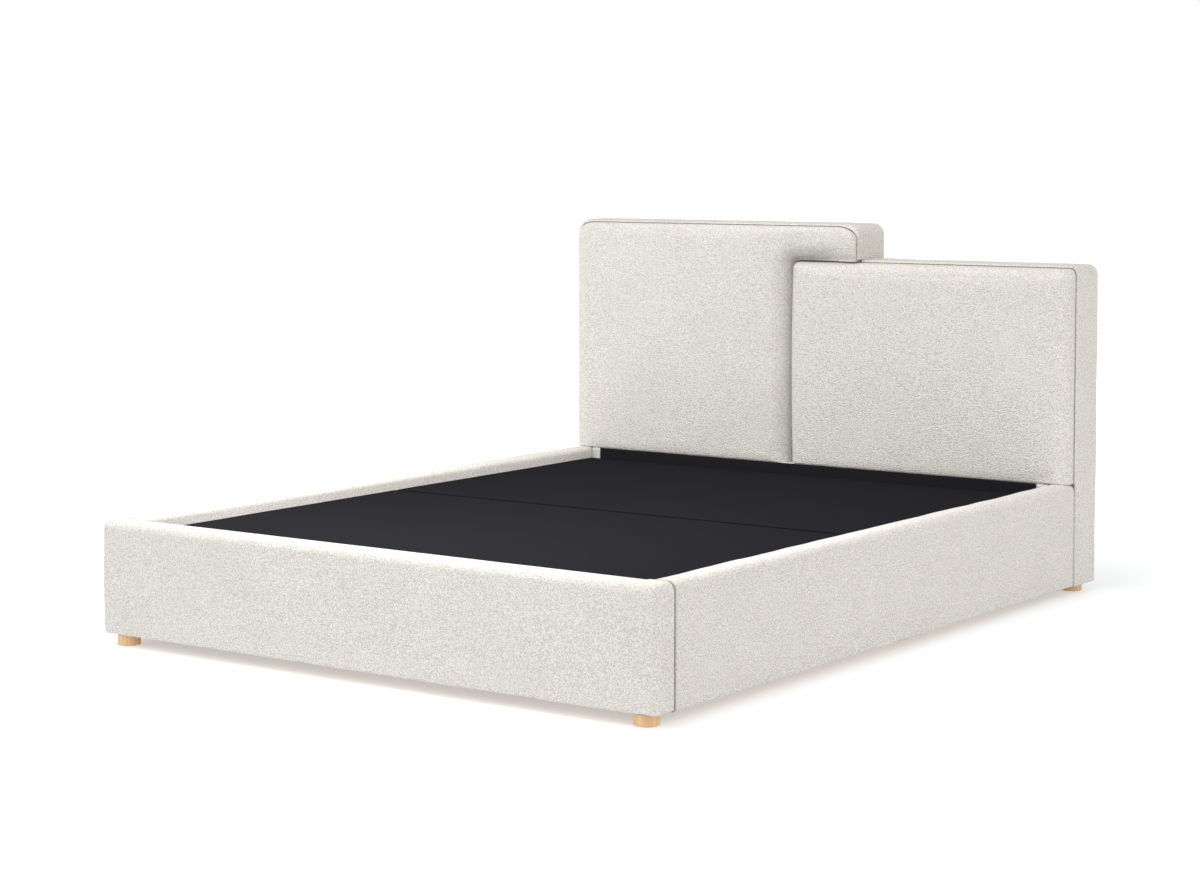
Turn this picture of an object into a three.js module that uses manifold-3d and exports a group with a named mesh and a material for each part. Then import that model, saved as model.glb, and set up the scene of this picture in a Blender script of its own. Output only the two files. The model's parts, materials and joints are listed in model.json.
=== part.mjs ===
// Upholstered platform bed for a 160 x 200 cm mattress, with an offset two-panel headboard.
// Millimetres, +Z up, origin on the floor under the middle of the bed's outer box.
// +X is the sleeper's right-hand long side, +Y points to the headboard.
import * as THREE from 'three';
import { mergeVertices } from 'three/addons/utils/BufferGeometryUtils.js';
import Module from 'manifold-3d';

const wasm = await Module();
wasm.setup();

// ---- driving dimensions -------------------------------------------------------------------
const WIDTH = 1760;
const LENGTH = 2290;
const CLEARANCE = 29; // floor to the underside of the upholstery
const GAP = 0.3; // between pieces that touch

const RAIL_TOP = 327;
const SIDE_RAIL = 66; // thickness, outer face to inner face
const FOOT_RAIL = 74;
const OUTER_PAD = 22; // foam and cloth on a rail's outer face
const TOP_PAD = 14;
const INNER_PAD = 10;
const INNER_HEM = 252; // the cloth on the inner face is stapled off at this height
const OUTER_ROUND = 22;
const INNER_ROUND = 10;
const CORNER_ROUND = 16; // upright corners of the foot rail

const DECK_TOP = 293.5;
const DECK_CLOTH = 2.5; // black cloth and its thin wadding
const DECK_BOARD = 15.2;
const DECK_PLAY = 1.5; // panel edge to rail
const DECK_SPLIT = 1112; // from the foot face
const DECK_HEM = 12; // how far the black cloth turns down over the panel's edge
const LIFT_GAP = 1.2; // between the two deck panels

const LEDGE_TOP = 250;
const LEDGE_HEIGHT = 40;
const LEDGE_WIDTH = 30;
const LEDGE_REACH = [80, 2090]; // the side ledges' ends, from the foot face
const BEARER_WIDTH = 80;
const BEARER_PLACES = { foot: 590, mid: DECK_SPLIT, head: 1630 };
const BEAM_WIDTH = 60;
const BEAM_HEIGHT = 80;
const CENTRE_LEG_PLACES = { foot: 760, head: 1460 };
const CENTRE_LEG_SIZE = 45;
const CAP_HEIGHT = 6;

const HEAD_SEAM = 2142; // front edge of the short panel's side band, from the foot face
const TALL_SEAM = 2121;
const CUSHION_FRONT = 2099;
const LINING_FRONT = 2097.4; // black cloth between the deck and the cushions
const BOARD_FRONT = 2188;
const FRAME_FRONT = 2200;
const FRAME_BACK = 2285;
const BACK_COVER = 3;
const BAND = 15; // thickness of the padded band round the headboard panels
const TALL_TOP = 1068;
const SHORT_TOP = 960;
const BAND_CROWN = 6; // the band stands this much above the cushion's seam
const TALL_SIDE = 166; // x of the tall panel's right-hand face
const SHORT_SIDE = -63; // x of the short cushion's left-hand edge
const TALL_ROUND = 48;
const SHORT_ROUND = 28;
const CUSHION_BEVEL = 9;
const LINING_MARGIN = 36; // cream cloth left showing at each end of the black lining

const FOOT_RADIUS = 30;
const FOOT_INSET_SIDE = 56;
const FOOT_INSET_END = 43;
const BOLT_RADIUS = 4;
const HOLE_RADIUS = 4.6;
const HEAD_RADIUS = 8;
const BOLT_HEAD = 5;
const STUD_IN_FOOT = 18; // how deep the foot's stud sits in the foot
const STUD_IN_BOARD = 42; // and in the board or post above
const BRACKET = { leg: 80, plate: 4, low: 100, high: 190 };
const BRACKET_BOLT = { height: 145, inset: 55, length: 28 };
const HANGER = { reach: 60, plate: 3, below: 15 };
const WIDE_POST = 80;
const THIN_POST = 40;
const FRAME_RAIL = 60; // height of the headboard frame's cross rails
const FRAME_RAIL_DEPTH = 40;

// ---- derived places -----------------------------------------------------------------------
const HALF = WIDTH / 2;
const FOOT_FACE = -LENGTH / 2; // every "from the foot" distance is measured from this plane
const INNER = HALF - SIDE_RAIL;
const RAIL_BOARD_TOP = RAIL_TOP - TOP_PAD - GAP;
const BOARD_BOTTOM = CLEARANCE + GAP;
const SIDE_BOARD_IN = HALF - SIDE_RAIL + INNER_PAD + GAP; // x of a side board's inner face
const FOOT_BOARD_IN = FOOT_RAIL - INNER_PAD - GAP;
const BEARER_TOP = DECK_TOP - DECK_CLOTH - DECK_BOARD - 2 * GAP;
const BEARER_HALF = INNER - 2;
const CUSHION_BOTTOM = RAIL_TOP + 0.6;
const BAND_IN = HALF - BAND - GAP;

// ---- finishes -----------------------------------------------------------------------------
function finish(color, roughness, metalness = 0) {
  return () => new THREE.MeshStandardMaterial({ color, roughness, metalness });
}
const CREAM_CLOTH = finish(0xe4e1dc, 0.95);
const BLACK_CLOTH = finish(0x2a292d, 0.9);
const PINE = finish(0xd2ab78, 0.7);
const PLYWOOD = finish(0xc79f6b, 0.75);
const FOOT_WOOD = finish(0xdeb487, 0.55);
const STEEL = finish(0x8d9093, 0.4, 0.9);
const PLASTIC = finish(0x26262a, 0.6);

// ---- making pieces ------------------------------------------------------------------------
const bed = new THREE.Group();

function add(name, geometry, finishOf, position = [0, 0, 0]) {
  const mesh = new THREE.Mesh(geometry, finishOf());
  mesh.name = name;
  mesh.position.set(...position);
  bed.add(mesh);
  return mesh;
}

function toSolid(geometry) {
  const bare = geometry.clone();
  bare.deleteAttribute('normal');
  bare.deleteAttribute('uv');
  const welded = mergeVertices(bare, 1e-3);
  const vertProperties = new Float32Array(welded.attributes.position.array);
  const triVerts = new Uint32Array(welded.index.array);
  return new wasm.Manifold(new wasm.Mesh({ numProp: 3, vertProperties, triVerts }));
}

function toGeometry(solid) {
  const { vertProperties, triVerts } = solid.getMesh();
  const geometry = new THREE.BufferGeometry();
  geometry.setAttribute('position', new THREE.BufferAttribute(vertProperties, 3));
  geometry.setIndex(new THREE.BufferAttribute(triVerts, 1));
  return geometry;
}

function cut(geometry, cutters) {
  let solid = toSolid(geometry);
  for (const cutter of cutters) {
    solid = solid.subtract(toSolid(cutter));
  }
  return toGeometry(solid);
}

// A block between x, distance from the foot face and height limits, in the bed's own frame.
function block(x, along, z) {
  const geometry = new THREE.BoxGeometry(x[1] - x[0], along[1] - along[0], z[1] - z[0]);
  const middle = (pair) => (pair[0] + pair[1]) / 2;
  return geometry.translate(middle(x), FOOT_FACE + middle(along), middle(z));
}

// A drill at a point, along an axis, reaching "length" on both sides of the point.
function drill([x, along, z], axis, length, radius = HOLE_RADIUS) {
  const geometry = new THREE.CylinderGeometry(radius, radius, 2 * length, 16);
  if (axis === 'x') {
    geometry.rotateZ(Math.PI / 2);
  }
  if (axis === 'z') {
    geometry.rotateX(Math.PI / 2);
  }
  return geometry.translate(x, FOOT_FACE + along, z);
}

// A closed outline of [u, v, radius] corners; a radius rounds that corner.
function outline(corners) {
  const shape = new THREE.Shape();
  const count = corners.length;
  corners.forEach(([u, v, radius = 0], i) => {
    const corner = new THREE.Vector2(u, v);
    const stepTo = (other) => new THREE.Vector2(other[0], other[1])
      .sub(corner).setLength(radius).add(corner);
    const from = radius ? stepTo(corners[(i + count - 1) % count]) : corner;
    if (i === 0) {
      shape.moveTo(from.x, from.y);
    } else {
      shape.lineTo(from.x, from.y);
    }
    if (radius) {
      const to = stepTo(corners[(i + 1) % count]);
      shape.quadraticCurveTo(u, v, to.x, to.y);
    }
  });
  shape.closePath();
  return shape;
}

// An outline in x and height, run along the bed between two distances from the foot face.
function runAlong(corners, [from, to], curveSegments = 5) {
  const depth = to - from;
  const geometry = new THREE.ExtrudeGeometry(outline(corners), {
    depth, curveSegments, bevelEnabled: false,
  });
  return geometry.rotateX(Math.PI / 2).translate(0, FOOT_FACE + to, 0);
}

// ---- rails --------------------------------------------------------------------------------
function sideRail(side, sign) {
  const x = (inset) => sign * (HALF - inset);
  const inner = SIDE_RAIL - INNER_PAD;
  const profile = [
    [x(0), CLEARANCE],
    [x(0), RAIL_TOP, OUTER_ROUND],
    [x(SIDE_RAIL), RAIL_TOP, INNER_ROUND],
    [x(SIDE_RAIL), INNER_HEM],
    [x(inner), INNER_HEM],
    [x(inner), RAIL_TOP - TOP_PAD],
    [x(OUTER_PAD), RAIL_TOP - TOP_PAD],
    [x(OUTER_PAD), CLEARANCE],
  ];
  const reach = [FOOT_RAIL + GAP, HEAD_SEAM - GAP];
  add(`${side}_rail_cover`, runAlong(profile, reach), CREAM_CLOTH);

  const boardX = [x(OUTER_PAD + GAP), x(inner - GAP)].sort((a, b) => a - b);
  const board = block(boardX, [FOOT_BOARD_IN + GAP, HEAD_SEAM - GAP], [BOARD_BOTTOM, RAIL_BOARD_TOP]);
  const holes = bracketPlaces().map((along) => (
    drill([sign * SIDE_BOARD_IN, along, BRACKET_BOLT.height], 'x', BRACKET_BOLT.length)
  ));
  add(`${side}_rail_board`, cut(board, holes), PINE);

  const ledgeX = [sign * (SIDE_BOARD_IN - GAP - LEDGE_WIDTH), sign * (SIDE_BOARD_IN - GAP)];
  ledgeX.sort((a, b) => a - b);
  const ledge = block(ledgeX, LEDGE_REACH, [LEDGE_TOP - LEDGE_HEIGHT, LEDGE_TOP]);
  add(`${side}_ledge`, ledge, PINE);
}

// Distances from the foot face of the bolt in each corner bracket's long-side leg.
function bracketPlaces() {
  return [FOOT_BOARD_IN + GAP + BRACKET_BOLT.inset, HEAD_SEAM - GAP - BRACKET_BOLT.inset];
}

function footRail() {
  const profile = [
    [0, CLEARANCE],
    [0, RAIL_TOP, OUTER_ROUND],
    [FOOT_RAIL, RAIL_TOP, INNER_ROUND],
    [FOOT_RAIL, CLEARANCE],
  ];
  const bar = new THREE.ExtrudeGeometry(outline(profile), {
    depth: WIDTH, curveSegments: 5, bevelEnabled: false,
  });
  bar.rotateX(Math.PI / 2).rotateZ(Math.PI / 2).translate(-HALF, FOOT_FACE, 0);
  const plan = new THREE.ExtrudeGeometry(outline([
    [-HALF, FOOT_FACE, CORNER_ROUND],
    [HALF, FOOT_FACE, CORNER_ROUND],
    [HALF, FOOT_FACE + FOOT_RAIL],
    [-HALF, FOOT_FACE + FOOT_RAIL],
  ]), { depth: RAIL_TOP + 20, curveSegments: 4, bevelEnabled: false });
  const body = toGeometry(toSolid(bar).intersect(toSolid(plan)));

  const hollow = HALF - OUTER_PAD;
  const under = CLEARANCE - 10;
  const cavityTop = RAIL_TOP - TOP_PAD;
  const past = FOOT_RAIL + 10;
  const innerFace = FOOT_RAIL - INNER_PAD;
  add('foot_rail_cover', cut(body, [
    block([-hollow, hollow], [OUTER_PAD, innerFace], [under, cavityTop]),
    block([-hollow, hollow], [innerFace - 1, past], [under, INNER_HEM]),
    block([-hollow, -INNER], [innerFace - 1, past], [under, cavityTop]),
    block([INNER, hollow], [innerFace - 1, past], [under, cavityTop]),
  ]), CREAM_CLOTH);

  const board = block(
    [-hollow + GAP, hollow - GAP], [OUTER_PAD + GAP, FOOT_BOARD_IN], [BOARD_BOTTOM, RAIL_BOARD_TOP],
  );
  const holes = [-1, 1].map((sign) => (
    drill([sign * (HALF - FOOT_INSET_SIDE), FOOT_INSET_END, BOARD_BOTTOM], 'z', STUD_IN_BOARD + 4)
  ));
  add('foot_rail_board', cut(board, holes), PINE);

  const ledge = block(
    [-BEARER_HALF, BEARER_HALF], [FOOT_RAIL + GAP, FOOT_RAIL + LEDGE_WIDTH],
    [LEDGE_TOP + GAP, BEARER_TOP],
  );
  add('foot_ledge', ledge, PINE);
}

// ---- base under the mattress --------------------------------------------------------------
function base() {
  const halfBeam = BEAM_WIDTH / 2;
  const beamEnds = [FOOT_BOARD_IN + GAP, HEAD_SEAM - GAP];
  const beamHeights = [LEDGE_TOP - BEAM_HEIGHT, LEDGE_TOP];
  add('centre_beam', block([-halfBeam, halfBeam], beamEnds, beamHeights), PINE);

  const hangers = {
    foot: [beamEnds[0], beamEnds[0] + HANGER.reach],
    head: [beamEnds[1] - HANGER.reach, beamEnds[1]],
  };
  for (const [end, along] of Object.entries(hangers)) {
    const wide = halfBeam + HANGER.plate;
    const heights = [beamHeights[0] - HANGER.plate, LEDGE_TOP - HANGER.below];
    const shoe = block([-wide, wide], along, heights);
    const slot = block(
      [-halfBeam - GAP, halfBeam + GAP], [along[0] - 5, along[1] + 5],
      [beamHeights[0] - GAP, LEDGE_TOP],
    );
    add(`beam_hanger_${end}`, cut(shoe, [slot]), STEEL);
  }

  const half = CENTRE_LEG_SIZE / 2;
  for (const [end, place] of Object.entries(CENTRE_LEG_PLACES)) {
    const across = [-half, half];
    const along = [place - half, place + half];
    const leg = block(across, along, [CAP_HEIGHT + GAP, beamHeights[0] - GAP]);
    add(`centre_leg_${end}`, leg, PINE);
    add(`centre_leg_cap_${end}`, block(across, along, [0, CAP_HEIGHT]), PLASTIC);
  }

  for (const [end, place] of Object.entries(BEARER_PLACES)) {
    const along = [place - BEARER_WIDTH / 2, place + BEARER_WIDTH / 2];
    const bearer = block([-BEARER_HALF, BEARER_HALF], along, [LEDGE_TOP + GAP, BEARER_TOP]);
    add(`cross_bearer_${end}`, bearer, PINE);
  }
}

function deckPanel(end, from, to) {
  const half = INNER - DECK_PLAY;
  const inset = DECK_CLOTH + GAP;
  const top = DECK_TOP - DECK_CLOTH - GAP;
  const boardAcross = [-half + inset, half - inset];
  const boardAlong = [from + inset, to - inset];
  add(`deck_board_${end}`, block(boardAcross, boardAlong, [top - DECK_BOARD, top]), PLYWOOD);

  const cloth = block([-half, half], [from, to], [DECK_TOP - DECK_HEM, DECK_TOP]);
  const inside = block(
    [-half + DECK_CLOTH, half - DECK_CLOTH], [from + DECK_CLOTH, to - DECK_CLOTH],
    [DECK_TOP - DECK_HEM - 5, DECK_TOP - DECK_CLOTH],
  );
  add(`deck_cloth_${end}`, cut(cloth, [inside]), BLACK_CLOTH);
}

// ---- headboard ----------------------------------------------------------------------------
// A front pad with bevelled front edges, and the thinner-edged foam behind it, as one cushion.
function cushion(name, face, core, seam) {
  const depth = seam - CUSHION_FRONT;
  const shell = new THREE.ExtrudeGeometry(outline(face), {
    depth, curveSegments: 5, bevelEnabled: true, bevelSegments: 2,
    bevelThickness: CUSHION_BEVEL, bevelSize: CUSHION_BEVEL, bevelOffset: -CUSHION_BEVEL,
  });
  shell.rotateX(Math.PI / 2).translate(0, FOOT_FACE + seam + CUSHION_BEVEL, 0);
  const keep = block([-WIDTH, WIDTH], [CUSHION_FRONT - 1, seam], [0, TALL_TOP + 50]);
  const pad = toSolid(shell).intersect(toSolid(keep));
  const foam = toSolid(runAlong(core, [seam - 1, BOARD_FRONT - GAP]));
  add(name, toGeometry(pad.add(foam)), CREAM_CLOTH);
}

function tallPanel() {
  const left = -HALF;
  const notchX = SHORT_SIDE - 2 * GAP;
  const notchZ = SHORT_TOP - BAND_CROWN + 2 * GAP;
  const seamTop = TALL_TOP - BAND_CROWN;
  cushion('tall_cushion', [
    [left, CUSHION_BOTTOM],
    [notchX, CUSHION_BOTTOM],
    [notchX, notchZ, SHORT_ROUND],
    [TALL_SIDE, notchZ],
    [TALL_SIDE, seamTop, TALL_ROUND],
    [left, seamTop, TALL_ROUND],
  ], [
    [left + BAND + GAP, CUSHION_BOTTOM],
    [notchX, CUSHION_BOTTOM],
    [notchX, notchZ, SHORT_ROUND],
    [TALL_SIDE - BAND - GAP, notchZ],
    [TALL_SIDE - BAND - GAP, TALL_TOP - BAND - GAP, TALL_ROUND - BAND],
    [left + BAND + GAP, TALL_TOP - BAND - GAP, TALL_ROUND - BAND],
  ], TALL_SEAM);

  const arch = runAlong([
    [left, CLEARANCE],
    [left + BAND, CLEARANCE],
    [left + BAND, TALL_TOP - BAND],
    [TALL_SIDE - BAND, TALL_TOP - BAND],
    [TALL_SIDE - BAND, CLEARANCE],
    [TALL_SIDE, CLEARANCE],
    [TALL_SIDE, TALL_TOP, TALL_ROUND],
    [left, TALL_TOP, TALL_ROUND],
  ], [TALL_SEAM + GAP, LENGTH]);
  add('tall_band', cut(arch, [
    block([left - 5, left + 40], [TALL_SEAM - 5, HEAD_SEAM], [0, RAIL_TOP + GAP]),
    block([TALL_SIDE - 40, TALL_SIDE + 5], [TALL_SEAM - 5, FRAME_FRONT + GAP], [0, SHORT_TOP + GAP]),
  ]), CREAM_CLOTH);

  panelFrame('tall', [-BAND_IN, TALL_SIDE - BAND - GAP], TALL_TOP - BAND - GAP, 'left');
}

function shortPanel() {
  const seamTop = SHORT_TOP - BAND_CROWN;
  const coreTop = SHORT_TOP - BAND - GAP;
  cushion('short_cushion', [
    [SHORT_SIDE, CUSHION_BOTTOM],
    [HALF, CUSHION_BOTTOM],
    [HALF, seamTop, SHORT_ROUND],
    [SHORT_SIDE, seamTop, SHORT_ROUND],
  ], [
    [SHORT_SIDE, CUSHION_BOTTOM],
    [BAND_IN, CUSHION_BOTTOM],
    [BAND_IN, coreTop, SHORT_ROUND - BAND],
    [SHORT_SIDE, coreTop, SHORT_ROUND],
  ], HEAD_SEAM);

  const start = TALL_SIDE + GAP;
  add('short_band', runAlong([
    [start, SHORT_TOP - BAND],
    [HALF - BAND, SHORT_TOP - BAND],
    [HALF - BAND, CLEARANCE],
    [HALF, CLEARANCE],
    [HALF, SHORT_TOP, SHORT_ROUND],
    [start, SHORT_TOP],
  ], [HEAD_SEAM + GAP, LENGTH]), CREAM_CLOTH);

  panelFrame('short', [start, BAND_IN], SHORT_TOP - BAND - GAP, 'right');
}

// Posts, rails, front board and back cover of one headboard panel. The post on the outer side
// is the wide one, which stands on a corner foot.
function panelFrame(panel, [left, right], top, outerSide) {
  const frame = [FRAME_FRONT + GAP, FRAME_BACK - GAP];
  const widths = outerSide === 'left' ? [WIDE_POST, THIN_POST] : [THIN_POST, WIDE_POST];
  const posts = { left: [left, left + widths[0]], right: [right - widths[1], right] };
  for (const [side, x] of Object.entries(posts)) {
    const post = block(x, frame, [BOARD_BOTTOM, top]);
    const footX = (side === 'left' ? -1 : 1) * (HALF - FOOT_INSET_SIDE);
    const hole = drill([footX, LENGTH - FOOT_INSET_END, BOARD_BOTTOM], 'z', STUD_IN_BOARD + 4);
    const stands = side === outerSide;
    add(`${panel}_${side}_post`, stands ? cut(post, [hole]) : post, PINE);
  }
  const between = [posts.left[1] + GAP, posts.right[0] - GAP];
  const railDepth = [FRAME_FRONT + GAP, FRAME_FRONT + FRAME_RAIL_DEPTH];
  add(`${panel}_top_rail`, block(between, railDepth, [top - FRAME_RAIL, top]), PINE);
  const lower = [CUSHION_BOTTOM, CUSHION_BOTTOM + FRAME_RAIL];
  add(`${panel}_lower_rail`, block(between, railDepth, lower), PINE);
  const boardDepth = [BOARD_FRONT, FRAME_FRONT];
  add(`${panel}_front_board`, block([left, right], boardDepth, [CUSHION_BOTTOM, top]), PLYWOOD);
  const coverDepth = [FRAME_BACK, FRAME_BACK + BACK_COVER];
  add(`${panel}_back_cover`, block([left, right], coverDepth, [BOARD_BOTTOM, top]), BLACK_CLOTH);
}

function headLower() {
  add('head_cross_board', block(
    [-BAND_IN, BAND_IN], [HEAD_SEAM, FRAME_FRONT], [BOARD_BOTTOM, RAIL_TOP + GAP],
  ), PLYWOOD);

  const half = INNER - GAP;
  const apronLow = LEDGE_TOP + GAP;
  const apronFront = LINING_FRONT + DECK_CLOTH + GAP;
  const apron = block([-half, half], [apronFront, HEAD_SEAM - GAP], [apronLow, RAIL_TOP]);
  add('head_apron', apron, CREAM_CLOTH);
  const liningHalf = INNER - LINING_MARGIN;
  add('head_lining', block(
    [-liningHalf, liningHalf], [LINING_FRONT, LINING_FRONT + DECK_CLOTH], [BEARER_TOP + GAP, RAIL_TOP],
  ), BLACK_CLOTH);
  add('head_ledge', block(
    [-BEARER_HALF, BEARER_HALF], [apronFront - GAP - LEDGE_WIDTH, apronFront - GAP],
    [apronLow, BEARER_TOP],
  ), PINE);
}

// ---- feet and fixings ---------------------------------------------------------------------
// Turned outline, [radius, height] pairs from the axis round to the axis.
function turned(profile, segments) {
  const points = profile.map(([radius, height]) => new THREE.Vector2(radius, height));
  return new THREE.LatheGeometry(points, segments).rotateX(Math.PI / 2);
}

function bolt(shank, head, length) {
  return turned([
    [0, 0], [head, 0], [head, BOLT_HEAD], [shank, BOLT_HEAD], [shank, length], [0, length],
  ], 12);
}

function feet() {
  for (const [end, along] of [['front', FOOT_INSET_END], ['rear', LENGTH - FOOT_INSET_END]]) {
    for (const [side, sign] of [['left', -1], ['right', 1]]) {
      const place = [sign * (HALF - FOOT_INSET_SIDE), FOOT_FACE + along, 0];
      const foot = turned([
        [0, 0],
        [FOOT_RADIUS - 2, 0],
        [FOOT_RADIUS, 2],
        [FOOT_RADIUS, CLEARANCE],
        [HOLE_RADIUS, CLEARANCE],
        [HOLE_RADIUS, CLEARANCE - STUD_IN_FOOT],
        [0, CLEARANCE - STUD_IN_FOOT],
      ], 24);
      add(`${end}_${side}_foot`, foot, FOOT_WOOD, place);
      const low = CLEARANCE - STUD_IN_FOOT + GAP;
      const high = CLEARANCE + STUD_IN_BOARD;
      const stud = turned([[0, low], [BOLT_RADIUS, low], [BOLT_RADIUS, high], [0, high]], 12);
      add(`${end}_${side}_foot_stud`, stud, STEEL, place);
    }
  }
}

// An L of steel plate in each corner, with the bolt that holds it to the long side's board.
function brackets() {
  const near = FOOT_BOARD_IN + GAP;
  const far = HEAD_SEAM - GAP;
  const plateFace = SIDE_BOARD_IN - GAP;
  const [frontBolt, rearBolt] = bracketPlaces();
  const ends = [
    ['front', [near, near + BRACKET.leg], [near, near + BRACKET.plate], frontBolt],
    ['rear', [far - BRACKET.leg, far], [far - BRACKET.plate, far], rearBolt],
  ];
  const heights = [BRACKET.low, BRACKET.high];
  for (const [end, sideLeg, endLeg, boltPlace] of ends) {
    for (const [side, sign] of [['left', -1], ['right', 1]]) {
      const span = (low, high) => [sign * low, sign * high].sort((a, b) => a - b);
      const long = toSolid(block(span(plateFace - BRACKET.plate, plateFace), sideLeg, heights));
      const short = toSolid(block(span(plateFace - BRACKET.leg, plateFace), endLeg, heights));
      const hole = drill([sign * plateFace, boltPlace, BRACKET_BOLT.height], 'x', 10);
      add(`${end}_${side}_bracket`, cut(toGeometry(long.add(short)), [hole]), STEEL);

      const fixing = bolt(BOLT_RADIUS, HEAD_RADIUS, BRACKET_BOLT.length);
      fixing.rotateX(-Math.PI / 2).rotateZ(sign > 0 ? -Math.PI / 2 : Math.PI / 2);
      const headUnder = plateFace - BRACKET.plate - GAP - BOLT_HEAD;
      add(`${end}_${side}_bracket_bolt`, fixing, STEEL, [
        sign * headUnder, FOOT_FACE + boltPlace, BRACKET_BOLT.height,
      ]);
    }
  }
}

// ---- assembly -----------------------------------------------------------------------------
sideRail('right', 1);
sideRail('left', -1);
footRail();
base();
deckPanel('foot', FOOT_RAIL + DECK_PLAY, DECK_SPLIT - LIFT_GAP / 2);
deckPanel('head', DECK_SPLIT + LIFT_GAP / 2, LINING_FRONT - DECK_PLAY);
headLower();
tallPanel();
shortPanel();
feet();
brackets();

export default bed;
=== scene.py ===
"""Upholstered platform bed with an offset two-panel headboard: soft goods, finishes and studio."""
import json
import math

import bmesh
import bpy
import numpy as np
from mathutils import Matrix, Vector
from mathutils.geometry import delaunay_2d_cdt


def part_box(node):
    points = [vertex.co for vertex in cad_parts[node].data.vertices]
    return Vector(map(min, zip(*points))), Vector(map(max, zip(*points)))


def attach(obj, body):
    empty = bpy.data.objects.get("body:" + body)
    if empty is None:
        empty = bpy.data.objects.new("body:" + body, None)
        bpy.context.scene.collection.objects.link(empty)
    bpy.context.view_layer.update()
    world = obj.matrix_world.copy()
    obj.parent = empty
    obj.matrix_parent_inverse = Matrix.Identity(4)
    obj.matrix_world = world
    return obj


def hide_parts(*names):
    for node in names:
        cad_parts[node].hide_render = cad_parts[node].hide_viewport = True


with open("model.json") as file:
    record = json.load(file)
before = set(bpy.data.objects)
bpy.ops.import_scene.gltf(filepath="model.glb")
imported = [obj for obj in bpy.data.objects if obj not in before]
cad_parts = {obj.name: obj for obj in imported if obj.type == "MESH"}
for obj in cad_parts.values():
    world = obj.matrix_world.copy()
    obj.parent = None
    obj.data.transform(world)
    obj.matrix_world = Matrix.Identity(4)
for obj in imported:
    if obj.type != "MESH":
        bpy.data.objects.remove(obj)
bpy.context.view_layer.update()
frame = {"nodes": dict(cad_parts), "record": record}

# ---- sizes, in metres ---------------------------------------------------------------------
GAP = 0.0003  # between pieces that touch
PAD_GRID = 0.007  # spacing of the points of a cushion's face
RAIL_GRID = 0.008  # along a rail
SECTION_GRID = 0.007  # round a rail
CORNER_STEPS = 14  # parts of a rounded corner

OUTER_ROLL = 0.022  # rail's outer top edge
INNER_ROLL = 0.014  # rail's inner top edge
UNDER_ROLL = 0.008  # where the cloth turns under the rail
UPRIGHT_ROLL = 0.018  # upright corners of the foot rail
SEAM_REACH = 0.0030  # cloth turning into a sewn seam: how wide, and how deep
SEAM_DEPTH = 0.0058
SEAM_SHADE_STRENGTH = 2.6  # strength of the painted shade at a joint between two covers
SHADE_FROM, SHADE_TO = 0.0008, 0.0045  # where that fades, from the joint
HEM_HEIGHT = 0.252  # the rail's cloth is stapled off at this height inside
HEM_ROLL = 0.003
TUCK_ROLL = 0.002
RAIL_SWELL = 0.0022
SETTLE = 0.05  # the cloth is even by this far from a seam

FACE_BACK = 0.0012  # leaves the lifted deck room past the swollen cushions
CUSHION_ROLL = 0.020
VALLEY_ROLL = 0.062  # the tall cushion's face rolls back this far from the short cushion
VALLEY_DEPTH = 0.041
VALLEY_FLOOR = 0.008  # width of the valley's flat bottom
VALLEY_CORNER = 0.021
VALLEY_FADE = 0.6  # share of the valley's depth that is lost at its right end
VALLEY_SHADE = 0.72  # strength of the painted shade in the valley, and how far from its bottom it reaches
VALLEY_REACH = 0.074
SHORT_ROLL = 0.025
EDGE_BULGE = 0.009  # the short cushion's free edge swells sideways
UNDERSIDE_ROLL = 0.006  # the cushions' lower edge
UNDERSIDE_DEPTH = 0.0035
SEAM_INSET = 0.002  # a side seam lies this far in from the band's outer face
SEAM_GROOVE = 0.0024  # width of the groove along the headboard's seams
GROOVE_DEPTH = 0.0048
BAND_THICK = 0.015
BAND_ROLL = 0.020
BACK_ROLL = 0.011
BAND_SWELL = 0.0015
TALL_CORNER = 0.034  # rounded corners of the headboard's outline
SHORT_CORNER = 0.030
TALL_LEFT_ROLL = (0.040, 0.055)  # the seams' corners, each into and out of the corner
TALL_RIGHT_ROLL = (0.070, 0.040)
SHORT_SEAM_ROLL = 0.020
STITCH_DEPTH = 0.0035  # behind the seam's front edge
STITCH_START = 0.004  # above the rail, or beside the other panel
STITCHES = {"Pitch": 0.0068, "Bar Length": 0.0050, "Bar Width": 0.0016, "Bar Height": 0.0016}
RAIL_STITCHES = {**STITCHES, "Bar Length": 0.0056, "Bar Width": 0.0026}
RAIL_STITCH_INSET = 0.0024  # in from the rail's outer face
STAPLE_PITCH = 0.055
STAPLE_EDGE = 0.014  # from the cloth's edge
STAPLES = {"Pitch": STAPLE_PITCH, "Bar Length": 0.011, "Bar Width": 0.0012, "Bar Height": 0.001}
DECK_ROLL = 0.004  # edges of a deck panel's cloth
MEETING_ROLL = 0.011  # where the two panels meet
FOOT_SIDES = 64
THIN_ROLLS = [(0.001, 0.001)] * 3  # edges of thin cloth

# height and size of the waves in padded cloth
RAIL_WAVES = ((0.0009, 0.26), (0.0004, 0.09))
BAND_WAVES = ((0.0008, 0.22), (0.0004, 0.08))
FACE_WAVES = ((0.0011, 0.24),)

# the cloth simulation of a cushion's face
SWELL_FRAMES = 20
SWELL_CAP = 0.0025  # most that a point moves
CLOTH_GROWTH = 0.004
SWELL = {
    "quality": 6, "mass": 0.25, "air_damping": 2.0, "tension_stiffness": 18,
    "compression_stiffness": 18, "shear_stiffness": 6, "bending_stiffness": 0.35,
    "vertex_group_mass": "sewn", "pin_stiffness": 1.0, "use_pressure": True,
    "uniform_pressure_force": 1.5, "shrink_min": -CLOTH_GROWTH,
}

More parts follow.
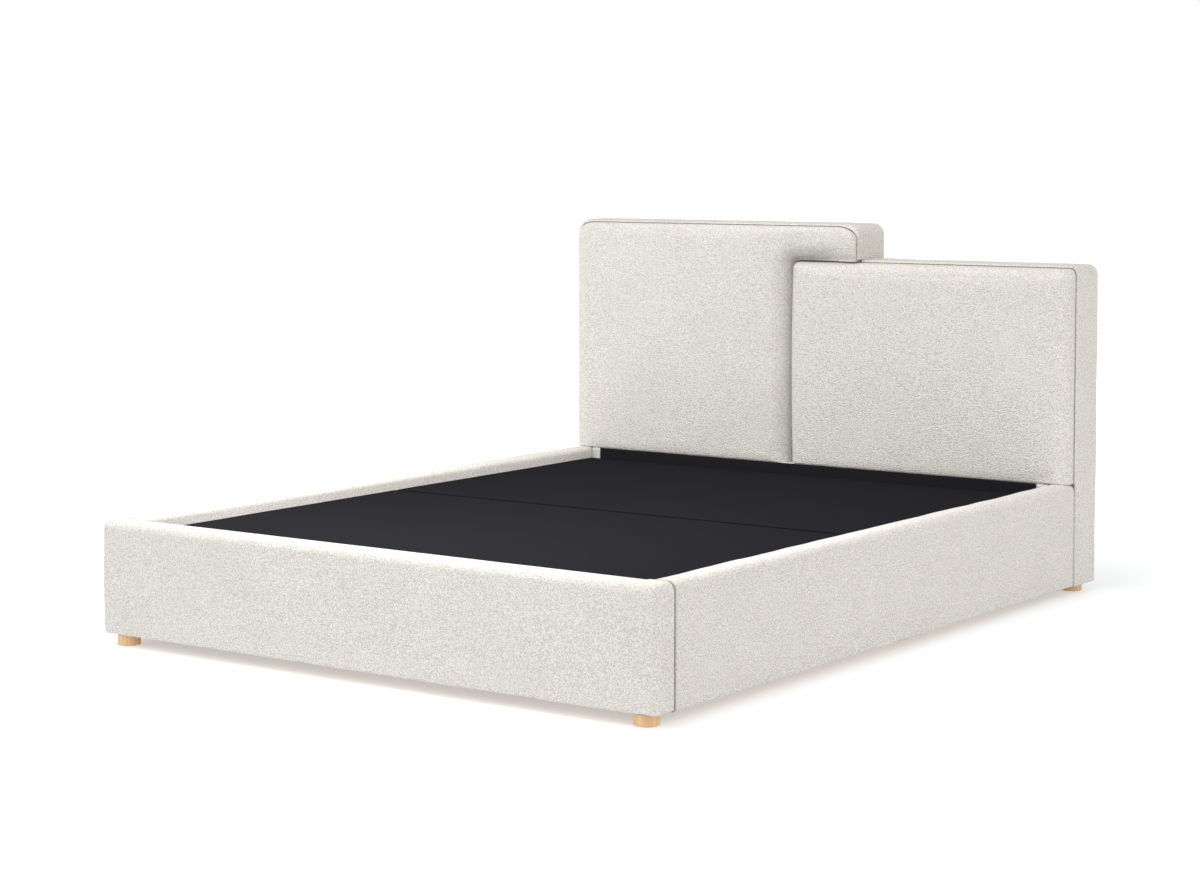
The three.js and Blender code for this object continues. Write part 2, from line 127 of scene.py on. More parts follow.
RIGHT_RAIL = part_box("right_rail_cover")
FOOT_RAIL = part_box("foot_rail_cover")
TALL_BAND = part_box("tall_band")
SHORT_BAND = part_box("short_band")
TALL_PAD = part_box("tall_cushion")
SHORT_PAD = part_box("short_cushion")
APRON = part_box("head_apron")
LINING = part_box("head_lining")
HEAD_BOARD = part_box("tall_front_board")
INNER_FACE = RIGHT_RAIL[0].x
RAIL_TOP = RIGHT_RAIL[1].z
BOARD_FACE = HEAD_BOARD[0].y
CUSHION_FACE = TALL_PAD[0].y
TALL_SEAM = TALL_BAND[0].y
SHORT_SEAM = SHORT_BAND[0].y
TALL_LEFT, TALL_RIGHT = TALL_BAND[0].x, TALL_BAND[1].x
TALL_TOP, SHORT_TOP = TALL_BAND[1].z, SHORT_BAND[1].z
TALL_SEAM_TOP, SHORT_SEAM_TOP = TALL_PAD[1].z, SHORT_PAD[1].z
SHORT_LEFT, SHORT_RIGHT = SHORT_BAND[0].x, SHORT_BAND[1].x
FLOOR_LINE = TALL_BAND[0].z
NOTCH_X, NOTCH_Z = SHORT_PAD[0].x - 2 * GAP, SHORT_PAD[1].z + 2 * GAP
CUSHION_BOTTOM = TALL_PAD[0].z


# ---- outlines -----------------------------------------------------------------------------
def corner_arc(before, corner, after, steps=CORNER_STEPS):
    """Points round a corner (u, v, radius in, radius out); a right angle gets a true arc."""
    here = np.array(corner[:2])
    back, on = np.array(before[:2]) - here, np.array(after[:2]) - here
    back *= corner[2] / np.linalg.norm(back)
    on *= corner[3] / np.linalg.norm(on)
    return [
        here + back * (1 - math.sin(angle)) + on * (1 - math.cos(angle))
        for angle in np.linspace(0, math.pi / 2, steps + 1)
    ]


def outline(corners, steps=CORNER_STEPS, closed=True):
    """Points of a line through (u, v, radius in, radius out) corners."""
    points = []
    count = len(corners)
    for i, corner in enumerate(corners):
        if not corner[2] or (not closed and i in (0, count - 1)):
            points.append(np.array(corner[:2]))
        else:
            points += corner_arc(corners[i - 1], corner, corners[(i + 1) % count], steps)
    return np.array(points)


def divided(points, step, closed=True):
    """The same line with every stretch longer than step cut into equal parts."""
    result = []
    ends = list(zip(points, np.roll(points, -1, axis=0)))
    for a, b in ends if closed else ends[:-1]:
        parts = max(1, int(math.ceil(np.linalg.norm(b - a) / step)))
        result += [a + (b - a) * k / parts for k in range(parts)]
    if not closed:
        result.append(points[-1])
    return np.array(result)


def outward(points):
    """Unit normals of a closed outline, pointing out of it."""
    along = np.roll(points, -1, axis=0) - np.roll(points, 1, axis=0)
    normal = np.stack([along[:, 1], -along[:, 0]], axis=1)
    normal /= np.maximum(np.linalg.norm(normal, axis=1, keepdims=True), 1e-9)
    following = np.roll(points, -1, axis=0)
    area = (points[:, 0] * following[:, 1] - following[:, 0] * points[:, 1]).sum()
    return normal if area > 0 else -normal


def distance_to(line, points):
    """How far each point is from a line of points."""
    best = np.full(len(points), 1e9)
    for a, b in zip(line[:-1], line[1:]):
        span = b - a
        share = np.clip((points - a) @ span / max(span @ span, 1e-12), 0, 1)
        away = np.linalg.norm(points - a - share[:, None] * span, axis=1)
        best = np.minimum(best, away)
    return best


def roll_back(distance, reach, depth):
    """How far a padded face has rolled back at a distance from its edge."""
    share = np.clip(1 - distance / reach, 0, 1)
    return depth * (1 - np.sqrt(np.maximum(1 - share**2, 0)))


def ease(value, start, end):
    """Runs smoothly from 0 at start to 1 at end."""
    share = np.clip((value - start) / (end - start), 0, 1)
    return share * share * (3 - 2 * share)


def ripple(points, size, seed):
    """Soft unevenness between -1 and 1 with waves of about the given size."""
    rng = np.random.default_rng(seed)
    total = np.zeros(len(points))
    for _ in range(7):
        direction = rng.normal(size=3)
        direction /= np.linalg.norm(direction)
        pitch = size * rng.uniform(0.6, 1.7)
        total += np.sin(points @ direction * (2 * math.pi / pitch) + rng.uniform(0, 6.28))
    return total / 4


def waves(points, sizes, seeds):
    """Ripples of several heights and sizes together."""
    return sum(high * ripple(points, size, seed) for (high, size), seed in zip(sizes, seeds))


def to_ends(value, low, high):
    """How far a value is from the nearer end of a range."""
    return np.minimum(value - low, high - value)


# ---- meshes -------------------------------------------------------------------------------
def new_object(name, points, faces, edges=()):
    mesh = bpy.data.meshes.new(name)
    mesh.from_pydata([tuple(p) for p in points], edges, faces)
    mesh.update()
    made = bpy.data.objects.new(name, mesh)
    bpy.context.scene.collection.objects.link(made)
    return made


def points_of(made):
    return np.array([v.co for v in made.data.vertices])


def move_points(made, points):
    made.data.vertices.foreach_set("co", points.astype(np.float32).ravel())
    made.data.update()


def tidy(made, crease=None):
    """Merged points, faces turned outwards, many-sided faces split, and smooth shading."""
    work = bmesh.new()
    work.from_mesh(made.data)
    bmesh.ops.remove_doubles(work, verts=work.verts, dist=2e-6)
    wide = [f for f in work.faces if len(f.verts) > 4]
    bmesh.ops.triangulate(work, faces=wide, ngon_method="EAR_CLIP")
    bmesh.ops.recalc_face_normals(work, faces=work.faces)
    work.to_mesh(made.data)
    work.free()
    made.data.shade_smooth()
    if crease:
        made.data.set_sharp_from_angle(angle=math.radians(crease))
    return made


def baked(made):
    """Turns the object's modifiers into plain mesh."""
    graph = bpy.context.evaluated_depsgraph_get()
    mesh = bpy.data.meshes.new_from_object(made.evaluated_get(graph), depsgraph=graph)
    made.modifiers.clear()
    made.data = mesh
    return made


def sweep(name, rings):
    """A closed solid through equal closed rings of points, with both ends capped."""
    count, size = rings.shape[:2]
    faces = []
    for i in range(count - 1):
        for j in range(size):
            a, b = i * size + j, i * size + (j + 1) % size
            faces.append((a, b, b + size, a + size))
    faces += [tuple(range(size)), tuple(range((count - 1) * size, count * size))]
    return new_object(name, rings.reshape(-1, 3), faces)


def ticks(low, high, roll_low, roll_high, step):
    """Grid lines across a rounded block, close together in its rolled edges."""
    turn = np.tan(np.linspace(math.pi / 4, 0, 6))
    start = low + roll_low * (1 - turn) if roll_low else np.array([low])
    end = high - roll_high * (1 - turn[::-1]) if roll_high else np.array([high])
    parts = max(1, int(round((end[0] - start[-1]) / step)))
    middle = np.linspace(start[-1], end[0], parts + 1)[1:-1]
    return np.concatenate([start, middle, end])


def block_shell(grid):
    """The points and faces of a block's surface on the given grid lines."""
    sizes = [len(g) for g in grid]
    index, points, faces = {}, [], []

    def corner(i, j, k):
        key = (i, j, k)
        if key not in index:
            index[key] = len(points)
            points.append((grid[0][i], grid[1][j], grid[2][k]))
        return index[key]

    for axis in range(3):
        u, v = (axis + 1) % 3, (axis + 2) % 3
        for level in (0, sizes[axis] - 1):
            for a in range(sizes[u] - 1):
                for b in range(sizes[v] - 1):
                    face = []
                    for da, db in ((0, 0), (1, 0), (1, 1), (0, 1)):
                        place = [0, 0, 0]
                        place[axis], place[u], place[v] = level, a + da, b + db
                        face.append(corner(*place))
                    faces.append(face if level else face[::-1])
    return np.array(points), faces


def rounded(points, low, high, rolls):
    """Moves a block's surface points onto rolled edges. rolls gives each point its roll on the
    low and high side of x, y and z. Also gives the outward direction at each point."""
    held = np.empty_like(points)
    scaled = np.zeros_like(points)
    size = np.zeros_like(points)
    for axis in range(3):
        roll_low, roll_high = rolls[axis]
        held[:, axis] = np.clip(points[:, axis], low[axis] + roll_low, high[axis] - roll_high)
        away = points[:, axis] - held[:, axis]
        size[:, axis] = np.where(away < 0, roll_low, roll_high)
        scaled[:, axis] = away / np.maximum(size[:, axis], 1e-6)
    length = np.maximum(np.linalg.norm(scaled, axis=1, keepdims=True), 1e-9)
    direction = scaled / length
    return held + direction * size, direction


def carve(made, holes):
    """Cuts boxes, given as low and high corners, out of a piece."""
    cutters = []
    for low, high in holes:
        points, faces = block_shell([np.array([low[i], high[i]]) for i in range(3)])
        cutter = tidy(new_object("cutter", points, faces))
        cut = made.modifiers.new("hollow", "BOOLEAN")
        cut.operation, cut.solver, cut.object = "DIFFERENCE", "EXACT", cutter
        cutters.append(cutter)
    baked(made)
    for cutter in cutters:
        bpy.data.objects.remove(cutter)
    return made


# ---- finishes -----------------------------------------------------------------------------
class Finish:
    """A node material, with short calls for its nodes."""

    def __init__(self, name):
        self.material = bpy.data.materials.new(name)
        self.material.use_nodes = True
        self.tree = self.material.node_tree
        self.tree.nodes.clear()
        self.output = self.node("ShaderNodeOutputMaterial")
        self.shader = self.node("ShaderNodeBsdfPrincipled")
        self.join(self.shader, "BSDF", self.output, "Surface")
        self.place = self.node("ShaderNodeTexCoord").outputs["Object"]

    def node(self, kind, given=(), **values):
        """A new node with these values, and numbers or links given to its inputs."""
        made = self.tree.nodes.new(kind)
        for name, value in values.items():
            setattr(made, name, value)
        for name, value in dict(given).items():
            self.feed(made.inputs[name], value)
        return made

    def join(self, a, out, b, into):
        self.tree.links.new(a.outputs[out], b.inputs[into])

    def feed(self, socket, value):
        if isinstance(value, bpy.types.NodeSocket):
            self.tree.links.new(value, socket)
        else:
            socket.default_value = value

    def stretched(self, scale):
        made = self.node("ShaderNodeMapping", {"Vector": self.place, "Scale": scale})
        return made.outputs["Vector"]

    def math(self, operation, a, b=0.0):
        return self.node("ShaderNodeMath", {0: a, 1: b}, operation=operation).outputs[0]

    def noise(self, vector, scale, detail=2.0, roughness=0.5):
        given = {"Vector": vector, "Scale": scale, "Detail": detail, "Roughness": roughness}
        return self.node("ShaderNodeTexNoise", given)

    def warped(self, vector, scale, amount):
        """The vector pushed about by noise."""
        push = self.noise(vector, scale, 1.0)
        given = {0: push.outputs["Color"], 1: (amount,) * 3, 2: vector}
        return self.node("ShaderNodeVectorMath", given, operation="MULTIPLY_ADD").outputs[0]

    def cells(self, vector, scale, smoothness):
        given = {"Vector": vector, "Scale": scale, "Smoothness": smoothness}
        return self.node("ShaderNodeTexVoronoi", given, feature="SMOOTH_F1").outputs["Distance"]

    def span(self, value, low, high, to_low=0.0, to_high=1.0):
        given = {
            "Value": value, "From Min": low, "From Max": high, "To Min": to_low, "To Max": to_high,
        }
        made = self.node("ShaderNodeMapRange", given, interpolation_type="SMOOTHSTEP")
        return made.outputs["Result"]

    def blend(self, share, a, b):
        made = self.node("ShaderNodeMix", {"Factor": share}, data_type="RGBA")
        self.feed(self.coloured(made.inputs, "A"), a)
        self.feed(self.coloured(made.inputs, "B"), b)
        return self.coloured(made.outputs, "Result")

    @staticmethod
    def coloured(sockets, name):
        return next(s for s in sockets if s.name == name and s.type == "RGBA")

    def bump(self, height, distance, strength):
        given = {"Height": height, "Distance": distance, "Strength": strength}
        return self.node("ShaderNodeBump", given).outputs["Normal"]

    def painted_shade(self):
        """How much painted shade darkens the cloth at each point, read from the mesh."""
        return self.node("ShaderNodeAttribute", attribute_name="painted_shade").outputs["Fac"]

    def finish(self, colour, roughness, normal=None, **fixed):
        sockets = self.shader.inputs
        self.feed(sockets["Base Color"], colour)
        self.feed(sockets["Roughness"], roughness)
        if normal is not None:
            self.feed(sockets["Normal"], normal)
        for name, value in fixed.items():
            sockets[name.replace("_", " ")].default_value = value
        return self.material


def rgb(red, green, blue):
    return (red, green, blue, 1.0)


def cream_boucle():
    """Looped yarn: lumpy nubs a few millimetres wide with loose fibre on them."""
    f = Finish("cream_boucle")
    place = f.warped(f.stretched((1.0, 1.0, 1.25)), 70.0, 0.004)
    nubs = f.cells(place, 262.0, 0.62)
    small = f.cells(place, 430.0, 0.5)
    fibre = f.noise(place, 620.0, 3.0, 0.65).outputs["Fac"]
    height = f.math("SUBTRACT", 1.0, f.math("MULTIPLY", nubs, 1.25))
    height = f.math("ADD", height, f.math("MULTIPLY", f.math("SUBTRACT", 1.0, small), 0.35))
    height = f.math("ADD", height, f.math("MULTIPLY", fibre, 0.30))
    # the low parts between the nubs take the darker colour: painted shade in the yarn's crevices
    raised = f.span(height, 0.40, 1.08)
    cream = f.blend(raised, rgb(0.580, 0.550, 0.506), rgb(0.824, 0.806, 0.776))
    patches = f.noise(f.place, 7.0, 3.0, 0.6).outputs["Fac"]
    shade = f.span(patches, 0.3, 0.7, 0.98, 1.01)
    # painted shade: darker where the mesh marks the shade of a seam, joint or valley
    shade = f.math("SUBTRACT", shade, f.math("MULTIPLY", f.painted_shade(), 0.24))
    tint = f.node("ShaderNodeVectorMath", operation="SCALE")
    f.feed(tint.inputs[0], cream)
    f.feed(tint.inputs["Scale"], shade)
    return f.finish(
        tint.outputs[0], 0.95, f.bump(height, 0.0042, 0.68),
        Sheen_Weight=0.10, Sheen_Roughness=0.6, Specular_IOR_Level=0.12,
    )


def seam_thread_and_shade():
    f = Finish("seam_thread_and_shade")
    given = {"Vector": f.place, "Scale": 420.0}
    twist = f.node("ShaderNodeTexWave", given, bands_direction="DIAGONAL").outputs["Fac"]
    # the thread is far darker than the cream cloth: painted shade, so that the stitches read as the
    # seams' dark lines
    colour = f.blend(twist, rgb(0.22, 0.185, 0.15), rgb(0.34, 0.295, 0.245))
    return f.finish(colour, 0.8, f.bump(twist, 0.0003, 0.6), Specular_IOR_Level=0.3)


def black_cloth():
    """Non-woven cloth: pressed fibres with a fine dimple pattern."""
    f = Finish("black_cloth")
    fibre = f.noise(f.warped(f.place, 90.0, 0.004), 420.0, 4.0, 0.7).outputs["Fac"]
    dimples = f.cells(f.place, 260.0, 0.3)
    broad = f.noise(f.place, 3.0, 3.0, 0.6).outputs["Fac"]
    height = f.math("ADD", fibre, f.math("MULTIPLY", dimples, 0.7))
    worn = f.span(fibre, 0.3, 0.72)
    colour = f.blend(worn, rgb(0.0125, 0.0124, 0.0148), rgb(0.0172, 0.0170, 0.0198))
    # painted shade: near black where the mesh marks the gap between the deck panels
    gap_shade = f.math("MULTIPLY", f.painted_shade(), 0.75)
    colour = f.blend(gap_shade, colour, rgb(0.0015, 0.0015, 0.0018))
    rough = f.span(broad, 0.3, 0.7, 0.62, 0.74)
    return f.finish(colour, rough, f.bump(height, 0.0006, 0.35), Specular_IOR_Level=0.0)


def wood(name, light, dark, stretch, rings, rough):
    """Sawn wood with growth lines along one axis, fine pores and broad colour drift."""
    f = Finish(name)
    along = f.stretched(stretch)
    given = {"Vector": f.warped(along, 2.2, 0.22), "Scale": rings, "Distortion": 3.0, "Detail": 3.0}
    wave = f.node("ShaderNodeTexWave", given, wave_type="RINGS", rings_direction="SPHERICAL")
    pores = f.noise(along, 160.0, 4.0, 0.7).outputs["Fac"]
    broad = f.noise(f.place, 3.5, 2.0).outputs["Fac"]
    grain = f.math("MULTIPLY", wave.outputs["Fac"], 0.65)
    grain = f.math("ADD", grain, f.math("MULTIPLY", pores, 0.35))
    colour = f.blend(f.span(grain, 0.1, 0.85), rgb(*light), rgb(*dark))
    lighter = tuple(min(1.0, c * 1.12) for c in light)
    colour = f.blend(f.span(broad, 0.35, 0.7, 0.0, 0.45), colour, rgb(*lighter))
    sheen = f.span(pores, 0.3, 0.7, rough, rough + 0.12)
    return f.finish(colour, sheen, f.bump(grain, 0.0005, 0.3))


def zinc_steel():
    f = Finish("zinc_steel")
    crystals = f.cells(f.place, 120.0, 0.05)
    brushed = f.noise(f.stretched((1.0, 1.0, 14.0)), 140.0, 3.0, 0.6).outputs["Fac"]
    colour = f.blend(crystals, rgb(0.40, 0.41, 0.42), rgb(0.62, 0.63, 0.64))
    rough = f.span(brushed, 0.3, 0.7, 0.30, 0.46)
    return f.finish(colour, rough, f.bump(brushed, 0.0002, 0.25), Metallic=1.0)


def black_plastic():
    f = Finish("black_plastic")
    grain = f.noise(f.place, 700.0, 3.0, 0.6).outputs["Fac"]
    colour = f.blend(grain, rgb(0.022, 0.022, 0.025), rgb(0.036, 0.036, 0.040))
    return f.finish(colour, 0.55, f.bump(grain, 0.0003, 0.4))


CREAM = cream_boucle()
THREAD_AND_SHADE = seam_thread_and_shade()
BLACK = black_cloth()
PINE = ((0.66, 0.47, 0.27), (0.50, 0.31, 0.15))
PINE_ALONG = wood("pine_long", *PINE, (9.0, 0.9, 9.0), 3.0, 0.55)
PINE_ACROSS = wood("pine_cross", *PINE, (0.9, 9.0, 9.0), 3.0, 0.55)
PINE_UPRIGHT = wood("pine_upright", *PINE, (9.0, 9.0, 0.9), 3.0, 0.55)
PLYWOOD = wood("plywood", (0.62, 0.43, 0.25), (0.50, 0.33, 0.18), (0.7, 5.0, 60.0), 1.6, 0.6)
FOOT_WOOD = wood("foot_wood", (0.74, 0.50, 0.29), (0.62, 0.38, 0.19), (14.0, 14.0, 2.5), 2.6, 0.42)
ZINC = zinc_steel()
PLASTIC = black_plastic()


def mark_painted_shade(made, painted_shade_of):
    """Stores at each point how much painted shade darkens the cloth there."""
    painted_shade = made.data.attributes.new("painted_shade", "FLOAT", "POINT")
    painted_shade.data.foreach_set("value", painted_shade_of(points_of(made)).astype(np.float32))


def seam_shade(away):
    """How much painted shade darkens cloth that turns into a joint, by its distance from the joint.
    """
    return SEAM_SHADE_STRENGTH * (1 - ease(away, SHADE_FROM, SHADE_TO))


def place_piece(made, finish, body="bed_frame", stands_for=()):
    """Gives a finished mesh its material and its body, and hides the solids that it stands for."""
    made.data.materials.clear()
    made.data.materials.append(finish)
    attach(made, body)
    if stands_for:
        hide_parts(*stands_for)
    return made


# ---- rails --------------------------------------------------------------------------------
def side_rail(side, sign):
    """A side rail's skin: its section, repeated along the rail. sign is 1 on the right."""
    low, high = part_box(f"{side}_rail_cover")
    board_low, board_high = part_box(f"{side}_rail_board")
    half = max(abs(low.x), abs(high.x))
    thick = high.x - low.x
    board = sorted(half - abs(x) for x in (board_low.x, board_high.x))
    outer, inner = board[0] - GAP, board[1] + GAP
    roof = board_high.z + GAP
    bottom = low.z
    section = divided(outline([
        (0, bottom, UNDER_ROLL, UNDER_ROLL),
        (0, high.z, OUTER_ROLL, OUTER_ROLL),
        (thick, high.z, INNER_ROLL, INNER_ROLL),
        (thick, HEM_HEIGHT, HEM_ROLL, HEM_ROLL),
        (inner, HEM_HEIGHT, 0, 0),
        (inner, roof, 0, 0),
        (outer, roof, 0, 0),
        (outer, bottom, TUCK_ROLL, TUCK_ROLL),
    ], 8), SECTION_GRID)
    skin = (section[:, 0] < outer - 0.001) | (section[:, 1] > roof + 0.001)
    skin |= (section[:, 0] > inner + 0.001) & (section[:, 1] > HEM_HEIGHT + 0.001)
    skin &= section[:, 1] > bottom + 0.0005
    normal = outward(section) * skin[:, None]
    level = (section[:, 1] - bottom) / (high.z - bottom)
    swell = RAIL_SWELL * np.sin(math.pi * np.clip(level, 0, 1)) * (section[:, 0] < 0.02)
    reach = ticks(low.y, high.y, SEAM_REACH, SEAM_REACH, RAIL_GRID)
    rings = []
    for y in reach:
        to_end = min(y - low.y, high.y - y)
        tuck = float(roll_back(np.array([to_end]), SEAM_REACH, SEAM_DEPTH)[0])
        settle = min(1.0, to_end / SETTLE)
        across = sign * (half - section[:, 0])
        ring = np.column_stack([across, np.full(len(section), y), section[:, 1]])
        soft = waves(ring, RAIL_WAVES, (11 + sign, 21 + sign))
        push = (swell + soft) * settle - tuck
        shift = normal * push[:, None]
        ring[:, 0] -= sign * shift[:, 0]
        ring[:, 2] += shift[:, 1]
        rings.append(ring)
    made = tidy(sweep(f"{side}_rail_upholstery", np.array(rings)), 50)
    # painted shade in the seams at both ends of the rail
    mark_painted_shade(made, lambda spots: seam_shade(to_ends(spots[:, 1], low.y, high.y)))
    place_piece(made, CREAM, stands_for=[f"{side}_rail_cover"])


def foot_rail():
    """The foot rail's skin, which turns both foot corners and ends in the side rails' seams."""
    low, high = FOOT_RAIL
    board_low, board_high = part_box("foot_rail_board")
    grid = [
        ticks(low.x, high.x, UPRIGHT_ROLL, UPRIGHT_ROLL, RAIL_GRID),
        np.concatenate([
            ticks(low.y, high.y - INNER_ROLL, UPRIGHT_ROLL, 0, 0.006)[:-1],
            ticks(high.y - INNER_ROLL, high.y, 0, SEAM_REACH, 0.0015),
        ]),
        ticks(low.z, high.z, UNDER_ROLL, OUTER_ROLL, SECTION_GRID),
    ]
    points, faces = block_shell(grid)
    count = len(points)
    x, y = points[:, 0], points[:, 1]
    inside = 1 - ease(np.abs(x), INNER_FACE - 0.006, INNER_FACE + 0.001)
    over = ease(y, low.y + 0.025, high.y - 0.015) * inside
    top = OUTER_ROLL + (INNER_ROLL - OUTER_ROLL) * over
    back = 1e-5 + (INNER_ROLL - 1e-5) * inside
    side = np.full(count, OUTER_ROLL) + (UPRIGHT_ROLL - OUTER_ROLL) * (1 - ease(y, low.y, high.y))
    rolls = [
        (side, side),
        (np.full(count, UPRIGHT_ROLL), back),
        (np.full(count, UNDER_ROLL), top),
    ]
    shaped, direction = rounded(points, low, high, rolls)
    tuck = roll_back(high.y - shaped[:, 1], SEAM_REACH, SEAM_DEPTH) * (1 - inside)
    middle = np.sign(shaped[:, 0]) * (INNER_FACE + high.x) / 2
    shaped[:, 0] -= tuck * (shaped[:, 0] - middle) / ((high.x - INNER_FACE) / 2)
    shaped[:, 2] -= tuck * (shaped[:, 2] - (low.z + high.z) / 2) / ((high.z - low.z) / 2)
    level = np.clip((shaped[:, 2] - low.z) / (high.z - low.z), 0, 1)
    front = direction * (0, 1, 0)
    front[:, 1] = np.minimum(front[:, 1], 0)
    soft = waves(shaped, RAIL_WAVES, (31, 32))
    settle = ease(high.y - shaped[:, 1], 0, SETTLE)
    shaped += front * (RAIL_SWELL * np.sin(math.pi * level))[:, None]
    shaped += direction * (soft * settle)[:, None]
    made = tidy(new_object("foot_rail_upholstery", shaped, faces))
    under, past = low.z - 0.02, high.y + 0.02
    left, right = board_low.x - GAP, board_high.x + GAP
    near, far = board_low.y - GAP, board_high.y + GAP
    roof = board_high.z + GAP
    carve(made, [
        ((left, near, under), (right, far, roof)),
        ((left, far - 0.001, under), (right, past, HEM_HEIGHT)),
        ((left, far - 0.001, under), (-INNER_FACE, past, roof)),
        ((INNER_FACE, far - 0.001, under), (right, past, roof)),
    ])
    tidy(made, 50)

    # painted shade in the seams where the foot rail meets the side rails
    def painted_shade_of(spots):
        return seam_shade(high.y - spots[:, 1]) * (np.abs(spots[:, 0]) > INNER_FACE)

    mark_painted_shade(made, painted_shade_of)
    place_piece(made, CREAM, stands_for=["foot_rail_cover"])


# ---- headboard bands ----------------------------------------------------------------------
def band(name, outer, seam, inner, front, back, node):
    """A padded strip round a headboard panel, swept along matching outer, seam and inner lines."""
    turn = np.linspace(0, math.pi / 2, 7)
    flat = np.linspace(0, 1, 16)[1:-1]
    away = outer - inner
    away /= np.linalg.norm(away, axis=1, keepdims=True)
    rings = []
    for i in range(len(outer)):
        section = [(seam[i][0], front[i] + GROOVE_DEPTH, seam[i][1])]
        for a in turn:
            spot = seam[i] + (outer[i] - seam[i]) * math.sin(a)
            section.append((spot[0], front[i] + BAND_ROLL * (1 - math.cos(a)), spot[1]))
        start, end = front[i] + BAND_ROLL, back - BACK_ROLL
        for share in flat:
            spot = outer[i] + away[i] * BAND_SWELL * math.sin(math.pi * share)
            section.append((spot[0], start + (end - start) * share, spot[1]))
        for a in turn:
            spot = outer[i] - away[i] * BACK_ROLL * (1 - math.cos(a))
            section.append((spot[0], end + BACK_ROLL * math.sin(a), spot[1]))
        section.append((inner[i][0], back, inner[i][1]))
        section.append((inner[i][0], front[i] + GROOVE_DEPTH, inner[i][1]))
        rings.append(section)
    rings = np.array(rings)
    flat_rings = rings.reshape(-1, 3)
    skin = np.tile(np.arange(rings.shape[1]) < rings.shape[1] - 2, len(outer))
    quiet = ease(flat_rings[:, 1], front.min(), front.min() + 0.03)
    soft = waves(flat_rings, BAND_WAVES, (41, 42)) * quiet * skin
    push = np.repeat(away, rings.shape[1], axis=0) * soft[:, None]
    flat_rings[:, 0] += push[:, 0]
    flat_rings[:, 2] += push[:, 1]
    made = tidy(sweep(name, flat_rings.reshape(rings.shape)), 60)

    # painted shade at the band's front edge below the rail tops, in the joint with the rails
    def painted_shade_of(spots):
        return seam_shade(spots[:, 1] - SHORT_SEAM) * (spots[:, 2] < RAIL_TOP - 0.004)

    mark_painted_shade(made, painted_shade_of)
    place_piece(made, CREAM, stands_for=[node])


def band_line(corners):
    """A band's line through (x, z, radius in, radius out, parts to the next corner)."""
    last = len(corners) - 1
    arcs = [
        corner_arc(corners[i - 1], corner, corners[i + 1])
        if 0 < i < last and corner[2] else [np.array(corner[:2])]
        for i, corner in enumerate(corners)
    ]
    result = []
    for i, arc in enumerate(arcs):
        result += arc
        if i < last:
            a, b, parts = arc[-1], arcs[i + 1][0], corners[i][4]
            result += [a + (b - a) * k / parts for k in range(1, parts)]
    return np.array(result)


def headboard_bands():
    """Both bands. Each line has the same parts, so that the three lines of a band match."""
    step = 0.0004  # height of the steps where the tall band passes a rail and the short band
    legs = (26, 1, 62, 84, 9, 1, 60)

    def tall_line(inset, top_drop, left_roll, right_roll):
        left, right, top = TALL_LEFT + inset, TALL_RIGHT - inset, TALL_TOP - top_drop
        return band_line([
            (left, FLOOR_LINE, 0, 0, legs[0]),
            (left, RAIL_TOP + GAP, 0, 0, legs[1]),
            (left, RAIL_TOP + GAP + step, 0, 0, legs[2]),
            (left, top, *left_roll, legs[3]),
            (right, top, *right_roll, legs[4]),
            (right, SHORT_TOP + GAP + step, 0, 0, legs[5]),
            (right, SHORT_TOP + GAP, 0, 0, legs[6]),
            (right, FLOOR_LINE, 0, 0, 1),
        ])

    outer = tall_line(0, 0, (TALL_CORNER, TALL_CORNER), (TALL_CORNER, TALL_CORNER))
    seam = tall_line(SEAM_INSET, TALL_TOP - TALL_SEAM_TOP, TALL_LEFT_ROLL, TALL_RIGHT_ROLL)
    inner = tall_line(BAND_THICK, BAND_THICK, (0.020, 0.020), (0.020, 0.020))
    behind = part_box("head_cross_board")[1].y + GAP
    front = np.full(len(outer), TALL_SEAM)
    front[:legs[0] + 1] = SHORT_SEAM
    front[-legs[6] - 1:] = behind
    band("tall_headboard_band", outer, seam, inner, front, TALL_BAND[1].y, "tall_band")

    def short_line(inset, top_drop, roll):
        right, top = SHORT_RIGHT - inset, SHORT_TOP - top_drop
        return band_line([
            (SHORT_LEFT, top, 0, 0, 60),
            (right, top, roll, roll, 80),
            (right, FLOOR_LINE, 0, 0, 1),
        ])

    outer = short_line(0, 0, SHORT_CORNER)
    seam = short_line(SEAM_INSET, SHORT_TOP - SHORT_SEAM_TOP, SHORT_SEAM_ROLL)
    inner = short_line(BAND_THICK, BAND_THICK, 0.016)
    front = np.full(len(outer), SHORT_SEAM)
    band("short_headboard_band", outer, seam, inner, front, SHORT_BAND[1].y, "short_band")


# ---- cushions -----------------------------------------------------------------------------
def face_net(edge, spacing):
    """Points and triangles that fill a closed outline, finer along its edge."""
    normal = outward(edge)
    closed = np.vstack([edge, edge[:1]])
    rows = [edge]
    for inset in (0.0018, 0.0048):
        row = edge - normal * inset
        rows.append(row[distance_to(closed, row) > inset * 0.97])
    low, high = edge.min(axis=0), edge.max(axis=0)
    across = np.arange(low[0], high[0], spacing)
    up = np.arange(low[1], high[1], spacing * 0.866)
    cloud = []
    for i, z in enumerate(up):
        cloud.append(np.column_stack([across + (i % 2) * spacing / 2, np.full(len(across), z)]))
    cloud = np.vstack(cloud)
    inside = np.zeros(len(cloud), bool)
    for a, b in zip(closed[:-1], closed[1:]):
        crosses = (a[1] > cloud[:, 1]) != (b[1] > cloud[:, 1])
        with np.errstate(divide="ignore", invalid="ignore"):
            at = a[0] + (cloud[:, 1] - a[1]) * (b[0] - a[0]) / (b[1] - a[1])
        inside ^= crosses & (cloud[:, 0] < at)
    cloud = cloud[inside]
    cloud = cloud[distance_to(closed, cloud) > 0.0048 + spacing * 0.6]
    spots = np.vstack(rows + [cloud])
    count = len(edge)
    loop = [(i, (i + 1) % count) for i in range(count)]
    verts, _, faces, *_ = delaunay_2d_cdt(
        [Vector(p) for p in spots], loop, [], 1, 1e-7
    )
    return np.array([tuple(v) for v in verts]), [tuple(f) for f in faces]


